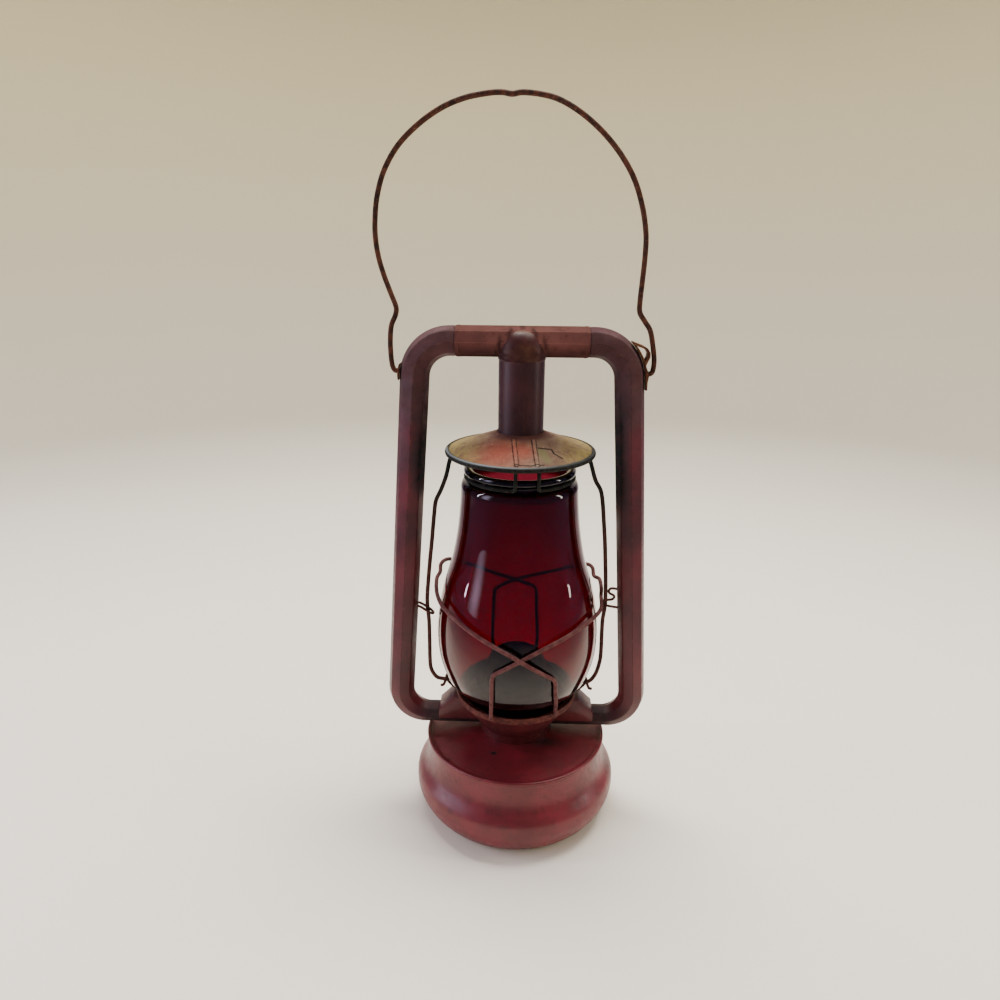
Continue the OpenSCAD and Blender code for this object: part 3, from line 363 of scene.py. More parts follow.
# %% Burnt paint, iron and brass
def burnt_paint(name):
    """Tan and copper rust with a greened outer part, painted shadow beside the rib folds, a dark crack, and
    a painted highlight along the rim.
    """
    f = Finish(name, {"IOR": 1.45, "Specular IOR Level": 0.12})
    f.tone = f.mix(f.cloud(9, 5, 1.0, 0.35, 0.65, distortion=0.8), ink(84, 62, 53), ink(110, 89, 73))
    f.lay(ink(128, 58, 44), f.mask("red"))
    f.lay(ink(128, 112, 64), f.mask("green"), f.cloud(3, 4, 2.0, 0.3, 0.6))
    f.lay(ink(66, 34, 24), f.cloud(1.1, 4, 3.0, 0.6, 0.7), 0.6)
    f.lay(ink(186, 150, 84), f.cloud(0.8, 3, 7.0, 0.66, 0.72), 0.7)
    f.lay(ink(74, 44, 40), f.mask("flare"))
    f.lay(ink(92, 84, 58), f.mask("chip"))
    # Painted shadow along both sides of each pressed rib.
    f.lay(ink(34, 20, 22), f.mask("fold"), f.cloud(1.3, 2, 8.0, 0.36, 0.52))
    f.lay(f.mix(f.cloud(1.6, 4, 4.0, 0.4, 0.65), ink(20, 21, 19), ink(36, 37, 33)), f.mask("rim"))
    # Painted highlight along the rim's top front.
    f.lay(ink(112, 118, 122), f.mask("rim_highlight"))
    f.lay(ink(14, 9, 8), f.mask("crack"))
    f.colour()
    f.gloss(f.cloud(2.5, 3, 5.0, 0.3, 0.7), 0.5, 0.75)
    f.relief(f.noise(1.2, 5, 6.0), 0.12)
    return f.material


def rusty_iron(name, dark, warm, pale, sooted=None, gloss=(0.45, 0.75)):
    """Iron that is dark, with warm rust and paler worn spots, blackened above a height."""
    f = Finish(name, {"IOR": 1.5, "Specular IOR Level": 0.08})
    f.tone = f.mix(f.cloud(3.2, 5, 1.0, 0.4, 0.62), dark, warm)
    f.lay(pale, f.cloud(0.9, 4, 2.0, 0.6, 0.72))
    if sooted:
        rise = f.math("ADD", f.between(f.axis("Z"), *sooted), f.cloud(9, 2, 5.0, 0.3, 0.7, (-0.2, 0.2)))
        f.lay(ink(30, 32, 32), rise)
    f.colour()
    f.gloss(f.cloud(1.4, 3, 3.0, 0.3, 0.7), *gloss)
    f.relief(f.noise(0.7, 5, 4.0), 0.10)
    return f.material


canopy_finish = burnt_paint("burnt_canopy")
bail_iron = rusty_iron("bail_iron", ink(44, 29, 26), ink(78, 45, 35), ink(110, 84, 70))
lift_iron = rusty_iron("lift_iron", ink(64, 36, 35), ink(86, 52, 49), ink(114, 88, 82), sooted=(190, 250))
plate_iron = rusty_iron("plate_iron", ink(62, 30, 29), ink(88, 46, 42), ink(124, 88, 82))
ring_iron = rusty_iron("ring_iron", ink(20, 22, 20), ink(34, 35, 32), ink(64, 68, 62))
guard_iron = rusty_iron("guard_iron", ink(78, 45, 47), ink(97, 62, 62), ink(128, 97, 92))
strap_iron = rusty_iron("strap_iron", ink(66, 38, 30), ink(96, 60, 44), ink(140, 112, 86))
sooty_steel = rusty_iron("sooty_steel", ink(36, 31, 30), ink(56, 42, 36), ink(84, 78, 72))
burner_brass = rusty_iron("burner_brass", ink(96, 68, 30), ink(124, 90, 40), ink(72, 52, 30))
cork = rusty_iron("cork_gasket", ink(130, 98, 66), ink(158, 122, 84), ink(92, 66, 44), gloss=(0.8, 0.9))
print("canopy paint, eight metals and cork")

# %% [markdown]
# ### Wick and ruby glass
# The wick is woven cotton, so its relief is two crossed waves. The globe is ruby glass about
# two and a half millimetres thick: the mesh has both walls, so light is bent at each and coloured
# on its way through, and the rear wires show. A film of soot inside dulls what the inner wall
# mirrors. A thin painted shell would look flat.


# %% Wick and glass
def wick_cotton(name, thread=0.9):
    """Cotton with crossed threads, charred at its top edge."""
    f = Finish(name, {"Sheen Weight": 0.3, "Roughness": 0.95})
    across, up = (f.math("SINE", f.math("MULTIPLY", f.axis(axis), 2 * pi / thread, False), 0.0, False)
                  for axis in ("Y", "Z"))
    weave = f.between(f.math("MULTIPLY", across, up, False), -1, 1)
    f.tone = f.mix(f.cloud(4, 3, 1.0, 0.3, 0.7), ink(196, 184, 158), ink(222, 212, 190))
    f.lay(ink(150, 136, 110), weave, 0.4)
    f.lay(ink(30, 26, 24), f.between(f.axis("Z"), 108, 112))
    f.colour()
    f.relief(weave, 0.15)
    return f.material


def ruby_glass(name):
    """Deep red glass that is darker towards the neck and painted near black over its lip as shade, with a
    faint wave and specks of dust.
    """
    f = Finish(name, {"Transmission Weight": 1.0, "Roughness": 0.02, "IOR": 1.48})
    f.tone = f.mix(f.cloud(30, 2, 1.0, 0.3, 0.7), (0.46, 0.1, 0.17, 1), (0.4, 0.085, 0.15, 1))
    f.lay((0.27, 0.06, 0.11, 1), f.between(f.axis("Z"), 160, 232))
    # Painted shade: from 240 mm up, over the groove and lip, the glass turns near black, standing in for the
    # ring's and lip's shadow.
    f.lay((0.012, 0.003, 0.004, 1), f.between(f.axis("Z"), 240, 245))
    f.lay(ink(190, 150, 150), f.cloud(0.5, 1, 2.0, 0.77, 0.80), 0.4)
    f.colour()
    mirrored = f.mix(f.mask("inside"), (1, 1, 1, 1), (0.12, 0.12, 0.12, 1))
    f.link(mirrored, f.shader.inputs["Specular Tint"])
    f.relief(f.noise(22, 1, 3.0), 0.25)
    depth = f.nodes.new("ShaderNodeVolumeAbsorption")
    depth.inputs["Color"].default_value = (0.74, 0.3, 0.42, 1)
    depth.inputs["Density"].default_value = 1 / MM
    f.link(depth.outputs[0], f.nodes["Material Output"].inputs["Volume"])
    return f.material


wick_finish = wick_cotton("wick_cotton")
glass = ruby_glass("ruby_glass")
print("wick and glass")

# %% [markdown]
# ## The folded side tubes
# Each side tube is sheet folded to eight sides and bent twice: out of the crossbar, down the
# side and under the globe. A Blender curve with a bevel object would twist at the bends, so the
# section is carried along the middle line directly. Each ring of the line holds its place, its
# turn and its two half widths, since the lower run is flattened.

# %% Side tubes
bar_z, lower_z = 332.8, 68.6
top_half, bottom_half = 65.2, 83.3
top_bend_r, bottom_bend_r = 22.5, 19.5
joint_x, tube_inner_x = 41.0, 23.0
tube_r, leg_foot_r, bar_r, sheet = 9.45, 9.2, 9.7, 0.8
lower_half_h, lower_half_w = 6.7, 8.8
splay = np.arctan((bottom_half - top_half) / (bar_z - lower_z))
top_turn, bottom_turn = pi / 2 - splay, pi / 2 + splay


def bend(centre_x, centre_z, radius, start, turn, first, last, steps=28):
    """Rings of [x, z, turn, half thickness, half width] round a bend. The section passes from
    first to last with the square of the way round."""
    u = np.linspace(0, 1, steps)[:, None]
    angle = start + turn * u
    section = np.asarray(first) + (np.asarray(last) - np.asarray(first)) * u**2
    return np.hstack([centre_x + radius * np.sin(angle), centre_z + radius * np.cos(angle), angle, section])


def straight(ring_a, ring_b, steps):
    """Rings between two rings, without either of them."""
    return np.linspace(ring_a, ring_b, steps + 2)[1:-1]


def folded_section(corner=0.17, arc=5):
    """The unit eight-sided section with rounded corners, as outward and sideways shares, and how
    close each point is to the middle of a corner."""
    inner = 1 - corner / cos(pi / 8)
    centre = np.repeat(np.arange(8) * pi / 4, arc)
    local = np.tile(np.linspace(-pi / 8, pi / 8, arc), 8)
    outward = inner * np.cos(centre) + corner * np.cos(centre + local)
    sideways = inner * np.sin(centre) + corner * np.sin(centre + local)
    return outward, sideways, 1 - np.abs(local) / (pi / 8)


outward, sideways, corner_mask = folded_section()


def carried(rings, inset=0.0):
    """The folded section carried along rings of [x, z, turn, half thickness, half width]."""
    x, z, turn, half_t, half_w = (rings[:, k:k + 1] for k in range(5))
    out = (half_t - inset) * outward
    return np.stack([x + out * np.sin(turn), (inset - half_w) * sideways, z + out * np.cos(turn)], -1)


top_pull = top_bend_r * tan(top_turn / 2)
bottom_pull = bottom_bend_r * tan(bottom_turn / 2)
top_bend = bend(top_half - top_pull, bar_z - top_bend_r, top_bend_r, 0, top_turn,
                (tube_r, tube_r), (tube_r, tube_r))
low_bend = bend(bottom_half - bottom_pull, lower_z + bottom_bend_r, bottom_bend_r, top_turn, bottom_turn,
                (leg_foot_r, tube_r), (lower_half_h, lower_half_w))
spigot = bar_r - sheet / cos(pi / 8) - 0.05
mouth = np.array([[joint_x - 4, bar_z, 0, spigot, spigot], [joint_x + 0.1, bar_z, 0, spigot, spigot],
                  [joint_x + 0.25, bar_z, 0, tube_r - 0.25, tube_r - 0.25],
                  [joint_x + 0.7, bar_z, 0, tube_r, tube_r]])
foot = np.array([[tube_inner_x, lower_z, pi, lower_half_h, lower_half_w]])
middle = np.vstack([mouth, straight(mouth[-1], top_bend[0], 2), top_bend,
                    straight(top_bend[-1], low_bend[0], 60), low_bend,
                    straight(low_bend[-1], foot[0], 14), foot])


def side_tube(side):
    """One side tube as a shell: the outer rings, then the inner ones back again. Soot lies on the
    face turned to the globe, strongest where the smoke leaves the canopy, and on the lower run."""
    skin = carried(middle)
    shell = np.concatenate([skin, carried(middle, sheet)[::-1]])
    height, inward = skin[..., 2], np.broadcast_to(-outward, skin.shape[:2])
    level, spread = (259.0, 24.0) if side < 0 else (260.0, 36.0)
    soot_and_shade = np.exp(-((height - level) / spread) ** 2) * np.clip(inward * 1.8, 0, 1) * 1.5
    lower = np.clip((95 - height) / 14, 0, 1) * np.clip((74 - np.abs(skin[..., 0])) / 12, 0, 1) * 0.8
    soot_and_shade = np.clip(np.maximum(soot_and_shade, lower), 0, 1)
    edge = np.broadcast_to(corner_mask, skin.shape[:2])
    fields = {"soot_and_shade": np.concatenate([soot_and_shade, soot_and_shade[::-1]]), "edge": np.concatenate([edge, edge[::-1]])}
    shell[..., 0] *= side
    name = "left_side_tube" if side < 0 else "right_side_tube"
    return surface(name + "_sheet", shell, tube_paint, loop_rows=True, fields=fields, crease=50)


for side, node in ((-1, "left_side_tube"), (1, "right_side_tube")):
    seat(side_tube(side), "root", "red_enamel", node)

# %% [markdown]
# ## Crossbar and centre tube
# The crossbar is a folded sleeve over both tube ends, with a saddle pressed in its middle for
# the round centre tube. A boolean would weld the two, but on the real lantern they meet in a
# sharp crease, so the saddle simply stands in the bar. The centre tube has a flat lock seam.

# %% Crossbar
sleeve_z, chimney_r, chimney_bottom = bar_z - bar_r - 1.2, 14.4, 266.5
lip_at, lip_height, lip_width = 38.9, 0.3, 0.45


def bar_rings():
    """Rings along the crossbar with a small pressed lip by each end and its mouth rounded in."""
    x = np.unique(np.concatenate([np.linspace(-joint_x, joint_x, 83), np.linspace(36, joint_x, 21),
                                  -np.linspace(36, joint_x, 21)]))
    lip = lip_height * np.exp(-((np.abs(x) - lip_at) / lip_width) ** 2)
    mouth_round = -0.25 * np.clip(np.abs(x) - (joint_x - 0.4), 0, 0.4) / 0.4
    radius = bar_r + lip + mouth_round
    return np.stack([x, np.full_like(x, bar_z), np.zeros_like(x), radius, radius], -1)


bar_skin = carried(bar_rings())
bar_shell = np.concatenate([bar_skin, carried(bar_rings(), sheet)[::-1]])
bar_edge = np.broadcast_to(corner_mask, bar_shell.shape[:2])
# Painted shade: dark lines follow the saddle's outline, a half ellipse, along its crease with the bar, and
# the bar's lower face is darkened.
line_half_width, line_foot_z, line_height = 16.4, 321.0, 20.5
line_rise = (bar_shell[..., 2] - line_foot_z) / line_height
dome_half = line_half_width * np.sqrt(np.clip(1 - line_rise ** 2, 0, 1))
bar_painted_shade = 0.85 * np.exp(-((np.abs(bar_shell[..., 0]) - dome_half - 0.4) / 1.1) ** 2)
bar_painted_shade = np.maximum(bar_painted_shade, 0.6 * np.clip((bar_z - 3.6 - bar_shell[..., 2]) / 1.2, 0, 1))
crossbar = surface("crossbar_sheet", bar_shell, bar_paint, loop_rows=True, crease=50,
                   fields={"edge": bar_edge, "soot_and_shade": bar_painted_shade})


def saddle_line(grow):
    """Quarter ellipse from the sleeve's side to a flat top: radius by the cosine, height by the
    sine of the angle."""
    u = np.linspace(0, pi / 2, 24)
    rise = bar_z + bar_r - 3 - sleeve_z - 4
    radius = 4 + (chimney_r + 0.05 + grow - 4) * np.cos(u)
    return np.stack([radius, sleeve_z + 4 + rise * np.sin(u) + grow * np.sin(u)], -1)


fillet = np.array([[0.05, 0], [0.2, 0.1], [0.4, 0.6], [0.55, 1.4], [0.6, 2.6], [0.55, 3.4]])
saddle_foot = fillet + [chimney_r, sleeve_z]
saddle = turned("saddle", np.vstack([saddle_foot, saddle_line(sheet), saddle_line(0)[::-1]]), saddle_paint,
                steps=128)
for piece in (crossbar, saddle):
    seat(piece, "root", "red_enamel", "top_crossbar")

# %% Centre tube
seam_at, seam_half, seam_proud = radians(50), 1.3, 0.3


def seam_bulge(angle, radius, height):
    """Adds the flat lock seam to the outer wall: full height inside its half width, falling off
    over a quarter of a millimetre, with a fine groove along one side."""
    off = (angle - seam_at) * chimney_r
    flat = np.clip((seam_half - np.abs(off)) / 0.25, 0, 1) * seam_proud
    groove = -0.25 * np.exp(-((off + seam_half + 0.3) / 0.22) ** 2)
    return np.where(radius > chimney_r - 0.1, flat + groove, 0), np.zeros_like(radius)


chimney_top = sleeve_z + 3.5
chimney_turns = np.unique(np.concatenate([np.linspace(0, 2 * pi, 160, endpoint=False),
                                          seam_at + np.linspace(-0.17, 0.17, 45)]))
heights = np.linspace(chimney_bottom, chimney_top, 40)
outer = np.stack([np.full(40, chimney_r), heights], -1)
inner = np.stack([np.full(40, chimney_r - sheet), heights[::-1]], -1)
chimney = turned("centre_tube_sheet", np.vstack([outer, inner]), chimney_paint, turns=chimney_turns)
seat(chimney, "root", "red_enamel", "centre_tube")

# %% [markdown]
# ## The fount
# The fuel tank is drawn from one sheet: a rolled hem, a bulge near the foot and a long hollow
# curve up to the shoulder, where the top is crimped on. Its outline is the only thing that
# matters, so both halves are outlines turned round the axis.

# %% Fount side
foot_r, bulge_r, bulge_z, shoulder_r, shoulder_z = 58.0, 71.1, 22.0, 62.4, 57.0
seam_foot_z, wall_top = shoulder_z - 4.2, shoulder_z - 0.9


def flare(u):
    """Share of the flare at a share u of the way from the bulge to the seam: one over one plus
    u / 0.38 to the fourth power, which is full at the bulge and nearly gone at the seam."""
    return 1 / (1 + (u / 0.38) ** 4)


def fount_line():
    """The foot rises with the sine of the way up to the power 0.75; above the bulge the wall
    draws in by the flare and ends upright."""
    u = np.linspace(0, 1, 26)
    foot = np.stack([foot_r + (bulge_r - foot_r) * np.sin(pi / 2 * u) ** 0.75, bulge_z * u], -1)
    v = np.linspace(0, 1, 46)[1:]
    share = (flare(v) - flare(1)) / (1 - flare(1))
    side = np.stack([shoulder_r + (bulge_r - shoulder_r) * share, bulge_z + (seam_foot_z - bulge_z) * v], -1)
    return np.vstack([foot, side, [[shoulder_r, wall_top]]])


fount_outer = fount_line()
fount_inner = fount_outer[::-1] - [sheet, 0]
fount_inner[-1] = [foot_r - 1.8, 0.0]
fount_side = turned("fount_side_sheet", np.vstack([fount_outer, fount_inner]), fount_paint, steps=256)
seat(fount_side, "root", "red_enamel", "fount_side")

# %% Fount top
bead_r, bead_half = shoulder_r - 0.1, 1.15
arc = np.linspace(-0.25 * pi, 1.05 * pi, 16)
bead = np.stack([bead_r + bead_half * np.cos(arc), shoulder_z - bead_half + bead_half * np.sin(arc)], -1)
top_edge_r, top_edge_z, top_z, collar_hole_r = 60.2, 55.1, 59.4, 12.4
top_outline = np.vstack([
    [[shoulder_r + 0.05, seam_foot_z + 0.4], [shoulder_r + 0.8, seam_foot_z + 0.4],
     [shoulder_r + 0.9, seam_foot_z + 1.2]], bead,
    [[top_edge_r + 0.2, top_edge_z + 0.35], [top_edge_r - 0.9, top_edge_z]],
    np.stack([np.linspace(58, 22, 40), np.linspace(top_edge_z + 0.15, top_z - 0.1, 40)], -1),
    [[20, top_z], [collar_hole_r, top_z], [collar_hole_r, top_z - sheet], [20, top_z - sheet],
     [top_edge_r - 0.9, top_edge_z - sheet], [shoulder_r - sheet - 0.1, top_edge_z],
     [shoulder_r - sheet - 0.1, wall_top + 0.05], [shoulder_r + 0.05, wall_top + 0.05]],
])
# Oil has darkened the top before the chamber, and one small spot is burnt black.
turn_angle = np.linspace(0, 2 * pi, 256, endpoint=False)
top_x, top_y = top_outline[:, :1] * np.sin(turn_angle), -top_outline[:, :1] * np.cos(turn_angle)
oil_stain = 0.7 * np.exp(-((top_x - 17) / 18) ** 2 - ((top_y + 20) / 5) ** 2)
burnt_spot = np.exp(-(((top_x + 14.5) / 2.4) ** 2 + ((top_y + 33.1) / 1.6) ** 2) ** 2)
fount_top = turned("fount_top_sheet", top_outline, fount_paint, steps=256,
                   fields={"soot_and_shade": np.clip(oil_stain + burnt_spot, 0, 1), "edge": np.zeros_like(top_x)})
seat(fount_top, "root", "red_enamel", "fount_top")

# %% [markdown]
# ## Canopy
# The canopy is a shallow cone rolled over a wire at its rim, with two pressed ribs at the front.
# Ribs could be separate rods, but pressed sheet has none: the height of the cone is raised along
# two lines instead, on a fine grid, and the stains and the crack are masks on the same points.

# %% Canopy
canopy_r, rim_z, canopy_top, rim_half = 46.6, 263.9, 276.0, 1.75
bore_r = chimney_r + 0.35
neck_r = bore_r + 1.4
edge_r, edge_z = canopy_r - rim_half + 0.5, rim_z + rim_half - 0.3
rib_half, rib_proud, globe_turn = 7.2, 0.7, radians(7)
ribs = [np.array([[-4.3, -17.5], [-2.0, -43.6]]), np.array([[8.0, -17.5], [10.2, -43.2]])]
crack_points = np.array([[11.1, -24.8], [19.0, -23.6], [20.3, -27.4], [25.3, -30.7]])
slot_points = np.array([[-3.0, -43.3], [5.8, -43.4], [14.1, -41.3]])


def line_distance(x, y, points):
    """Least distance from each place to a line through points, stretch by stretch."""
    best = np.full(x.shape, np.inf)
    for (ax, ay), (bx, by) in zip(points[:-1], points[1:]):
        dx, dy = bx - ax, by - ay
        t = np.clip(((x - ax) * dx + (y - ay) * dy) / (dx * dx + dy * dy), 0, 1)
        best = np.minimum(best, np.hypot(x - ax - t * dx, y - ay - t * dy))
    return best


def rib_distance(x, y):
    """Distance to the nearer rib's middle line."""
    return np.minimum(line_distance(x, y, ribs[0]), line_distance(x, y, ribs[1]))


def rib_bulge(angle, radius, height):
    """Raises the cone along the two front ribs: full within 0.9 mm of a rib's line, gone at
    1.3 mm, and faded out at the collar and the rim."""
    off = rib_distance(radius * np.sin(angle), -radius * np.cos(angle))
    band = np.clip((1.3 - off) / 0.4, 0, 1)
    fade = np.clip((radius - neck_r - 0.5) / 2, 0, 1) * np.clip((edge_r + 0.6 - radius) / 1.2, 0, 1)
    return np.zeros_like(radius), band * band * (3 - 2 * band) * fade * rib_proud


rim_arc = np.linspace(radians(125), radians(-160), 22)
rim_line = np.stack([canopy_r + rim_half * np.cos(rim_arc), rim_z + rim_half * np.sin(rim_arc)], -1)
cone = np.stack([np.linspace(neck_r, edge_r - 0.6, 85),
                 np.linspace(canopy_top, edge_z + 0.2, 85)], -1)
collar = [[bore_r, canopy_top + 0.9], [bore_r + 0.7, canopy_top + 0.9], [bore_r + 0.9, canopy_top + 0.3]]
under = cone[::-6] - [0, 0.75]
canopy_line = np.vstack([collar, cone, rim_line, under, [[bore_r, canopy_top - 0.7]]])
canopy_turns = np.unique(np.concatenate([np.linspace(0, 2 * pi, 320, endpoint=False),
                                         np.linspace(-0.45, 0.75, 250) % (2 * pi)]))

# %% Stains, crack, chip, painted shadow and highlight
radius = np.repeat(canopy_line[:, :1], len(canopy_turns), 1)
x, y = radius * np.sin(canopy_turns), -radius * np.cos(canopy_turns)
on_rim = np.clip((radius - edge_r - 0.1) / 0.5, 0, 1)
# Painted highlight along the top front of the rim, stronger at the left.
rim_highlight = np.zeros_like(radius)
rim_highlight[len(collar) + len(cone):][:len(rim_line)] = np.exp(-((rim_arc - radians(70)) / 0.4) ** 2)[:, None]


def patch(middle_x, middle_y, reach):
    """Full at a place on the canopy, and gone at a reach from it."""
    return np.clip(1 - np.hypot(x - middle_x, y - middle_y) / reach, 0, 1)


canopy_fields = {
    "rim": on_rim,
    "rim_highlight": rim_highlight * np.clip(0.6 - x / 60, 0.2, 1) * (y < 0),
    "red": 0.8 * patch(-13, -30, 26) + 0.5 * patch(3, -30, 9),
    "green": np.clip((np.abs(x) - 20) / 18, 0, 1),
    "crack": np.clip(1.3 - np.minimum(line_distance(x, y, crack_points) / 0.8,
                                      line_distance(x, y, slot_points) / 0.6), 0, 1),
    # fold: painted shadow along both sides of each rib.
    "fold": np.clip(1.3 - np.abs(rib_distance(x, y) - 1.3) / 0.42, 0, 1) * (radius < edge_r),
    "chip": np.clip(1.4 - line_distance(x, y, np.array([[13.2, -28], [16, -36]])) / 3.4, 0, 1),
    "flare": np.clip((21.5 - radius) / 4.5, 0, 1),
}
canopy = turned("canopy_sheet", canopy_line, canopy_finish, turns=canopy_turns, bulge=rib_bulge,
                fields=canopy_fields)
seat(canopy, "lift", "burnt_canopy", "canopy")

# %% [markdown]
# ## Globe
# The globe is blown glass, barrel shaped, with a narrow neck, a groove for its wire ring and a
# rounded lip. The outer line passes smoothly through chosen points; the inner wall is the same
# line drawn in by the thickness of the glass, so the two walls make one closed vessel.

# %% Globe
glass_t, groove_r, lip_r, foot_glass_r = 2.6, 33.7, 36.2, 36.5
ring_z, lip_top, globe_foot = 247.4, 254.0, 88.1
globe_knots = [
    [foot_glass_r, globe_foot + 0.6], [foot_glass_r, globe_foot + 3.5], [foot_glass_r + 2.1, 94],
    [44.6, 99.5], [49.4, 106], [53.8, 120], [55.1, 136], [53.7, 154], [49.9, 172], [44.6, 190],
    [40.8, 210], [38.7, 230], [38.2, ring_z - 6],
]
globe_line = smooth(globe_knots, 8)
lip = smooth([[37.2, ring_z - 3.4], [34.9, ring_z - 1.9], [groove_r, ring_z - 0.9], [groove_r, ring_z + 0.9],
              [34.9, ring_z + 1.9], [lip_r, ring_z + 3], [lip_r, lip_top - 1.6], [lip_r - 1, lip_top - 0.3],
              [lip_r - 2, lip_top], [groove_r - glass_t + 0.8, lip_top - 0.6],
              [groove_r - glass_t, lip_top - 2], [groove_r - glass_t, ring_z - 4]], 4)
inside = globe_line[::-1][2:] - [glass_t, 0]
foot_round = [[foot_glass_r - glass_t, globe_foot + 0.6], [foot_glass_r - glass_t + 0.6, globe_foot],
              [foot_glass_r - 0.6, globe_foot]]
globe_outline = np.vstack([globe_line, lip, inside[:-1], foot_round])
inner_wall = np.zeros((len(globe_outline), 192))
inner_wall[len(globe_line) + len(lip):-2] = 1
globe = turned("globe_glass", globe_outline, glass, steps=192, crease=70, fields={"inside": inner_wall})
seat(globe, "lift", "ruby_glass", "globe")

# %% [markdown]
# ## Bail, lift wires and guides
# These wires are bent by hand, so their lines are the same chosen points as in the model, and a
# round section is carried along them. A bevelled curve would also do, but a mesh keeps the ends
# closed and gives the rust an even surface.

# %% Bail
pivot_z, ear_face, bail_wire_r = 314.0, 75.96, 1.6
bail_reach = ear_face + 3.45
bail_shape = np.array([
    [-0.99, 0], [-1.0062, 1.5], [-1.0175, 5], [-1.0227, 11], [-1.0227, 19], [-1.0101, 27.5], [-0.9761, 33.8],
    [-0.9698, 38.5], [-1.0038, 46], [-1.0516, 56.5], [-1.0882, 67], [-1.1058, 77.5], [-1.1045, 88],
    [-1.0819, 101], [-1.0239, 114.8], [-0.9169, 128], [-0.7657, 139], [-0.6008, 147.3], [-0.437, 152.3],
    [-0.2771, 154.7], [-0.1763, 155.2], [-0.1008, 154.4], [-0.0252, 155.2], [0.1008, 154.3],
    [0.2267, 151.8], [0.3778, 145.6], [0.539, 135.8], [0.6776, 124.1], [0.7859, 111], [0.8577, 96],
    [0.8955, 81.3], [0.8992, 68.5], [0.8917, 55.5], [0.8841, 43.7], [0.8879, 37], [0.9307, 31.6],
    [0.9773, 26], [1.0076, 16], [1.0227, 8], [1.0176, 2], [1, 0],
])
bail_points = bail_shape * [bail_reach, 1] + [0, pivot_z]


def upright(points, steps=6):
    """A smooth line through [x, z] points, standing in the plane of the tubes."""
    line = smooth(points, steps)
    return np.stack([line[:, 0], np.zeros(len(line)), line[:, 1]], -1)


bail_line = upright(bail_points)
pins = [np.array([[side * (ear_face + 0.3), 0, pivot_z]]) for side in (-1, 1)]
bail_line = np.vstack([pins[0], bail_line, pins[1]])
seat(wire("bail_wire", bail_line, bail_wire_r, bail_iron), "bail", "rusty_wire", "bail")

# %% Lift wires
hook_x, hook_z, lift_wire_r = 43.45, 264.7, 1.4
left_lift = [
    [-hook_x, hook_z], [-hook_x - 0.4, rim_z - 2.4], [-45.8, 255.5], [-48, 246], [-51.5, 236.5],
    [-54.9, 229], [-56.2, 220], [-58.1, 201], [-59.7, 186.5], [-61.2, 171], [-62.2, 158],
    [-61.9, 149], [-61.3, 141], [-61.2, 126], [-61.2, 110], [-60.4, 102.5], [-57, 96.6],
    [-52.5, 95], [-47.5, 94.6],
]
right_lift = [
    [hook_x, hook_z], [hook_x + 0.4, rim_z - 2.4], [46, 255], [49, 245], [52.8, 238], [54.6, 229],
    [55.9, 217], [57.3, 203.5], [58.4, 189], [59.4, 174.5], [60, 160], [59.8, 153], [58.9, 145],
    [58.8, 136], [59, 121], [58.6, 112.5], [56.8, 104], [54.2, 98.4], [51.2, 95.4], [47.5, 94.4],
]
for name, points in (("left", left_lift), ("right", right_lift)):
    seat(wire(f"{name}_lift_wire", upright(points), lift_wire_r, lift_iron), "lift", "rusty_wire",
         f"lift_wire_{name}")

# %% Guides on the side tubes
guide_y, guide_wire_r = 2.7, 0.9


def inner_face(z):
    """Distance of the side tube's inner face from the axis at a height."""
    top = bar_z - top_pull * cos(splay)
    low = lower_z + bottom_pull * cos(splay)
    half = np.interp(z, [low, top], [leg_foot_r, tube_r])
    return top_half + (bar_z - z) * tan(splay) - half / cos(splay) + guide_y * tan(pi / 8)


guide_seat = guide_wire_r * 0.65
x_left, x_right = inner_face(154) - guide_seat, inner_face(156) - guide_seat
staple = [
    [-x_left, -guide_y, 153.6], [-65.5, -guide_y, 152], [-61.5, -guide_y, 149.2], [-59.1, -1.9, 147.6],
    [-58.1, 0, 147], [-59.1, 1.9, 147.6], [-61.5, guide_y, 149.2], [-65.5, guide_y, 152],
    [-x_left, guide_y, 153.6],
]
prong = [[59.8, -guide_y, 157], [63, -guide_y, 156.2], [x_right, -guide_y, 155.4]]
tail = [
    [59.8, guide_y, 158.2], [62.6, guide_y, 158.4], [65, guide_y, 158.9], [66.3, guide_y, 160.6],
    [65.3, guide_y, 162.2], [63.2, guide_y, 163.2], [62.3, guide_y, 165], [63.4, guide_y, 166.8],
    [65.9, guide_y, 167], [inner_face(166.6) - guide_seat, guide_y, 166.6],
]
for name, points, up, node in (("left_staple", staple, (0, 0, 1), "left_guide"),
                               ("right_prong", prong, (0, 1, 0), "right_guide"),
                               ("right_tail", tail, (0, 1, 0), "right_guide")):
    seat(wire(name, smooth(points, 6), guide_wire_r, lift_iron, across=up, sides=12),
         "root", "rusty_wire", node)

# %% [markdown]
# ## Guard wires, neck ring and plate loops
# Two wires cross in front of the globe and again behind it. Each point is an angle round the
# globe, a height and a stand-off from the glass, so the wires follow the glass by formula. The
# direction away from the axis steadies the round section as it goes round.


# %% Guards
def polar(angle, radius, z):
    """Points at angles in degrees from the front, towards +X, at a radius and a height."""
    a = np.radians(angle)
    return np.stack(np.broadcast_arrays(radius * np.sin(a), -radius * np.cos(a), z), -1)


guard_wire_r, guard_gap, plate_r, plate_z = 1.35, 0.5, 42.0, 87.0
guard_off, guard_foot, foot_gap = guard_wire_r + guard_gap, plate_z + 2.5, 0.1 - guard_gap
coarse_glass = smooth([[foot_glass_r, globe_foot]] + globe_knots[1:], 3)


def guard_radius(z):
    """Radius that keeps a wire its gap off the glass, measured square to the glass's slope, and
    never inside the plate's rim."""
    at = np.interp(z, coarse_glass[:, 1], coarse_glass[:, 0])
    slope = (np.interp(z + 1, coarse_glass[:, 1], coarse_glass[:, 0])
             - np.interp(z - 1, coarse_glass[:, 1], coarse_glass[:, 0])) / 2
    return np.maximum(at + guard_off * np.sqrt(1 + slope**2), plate_r + guard_off)


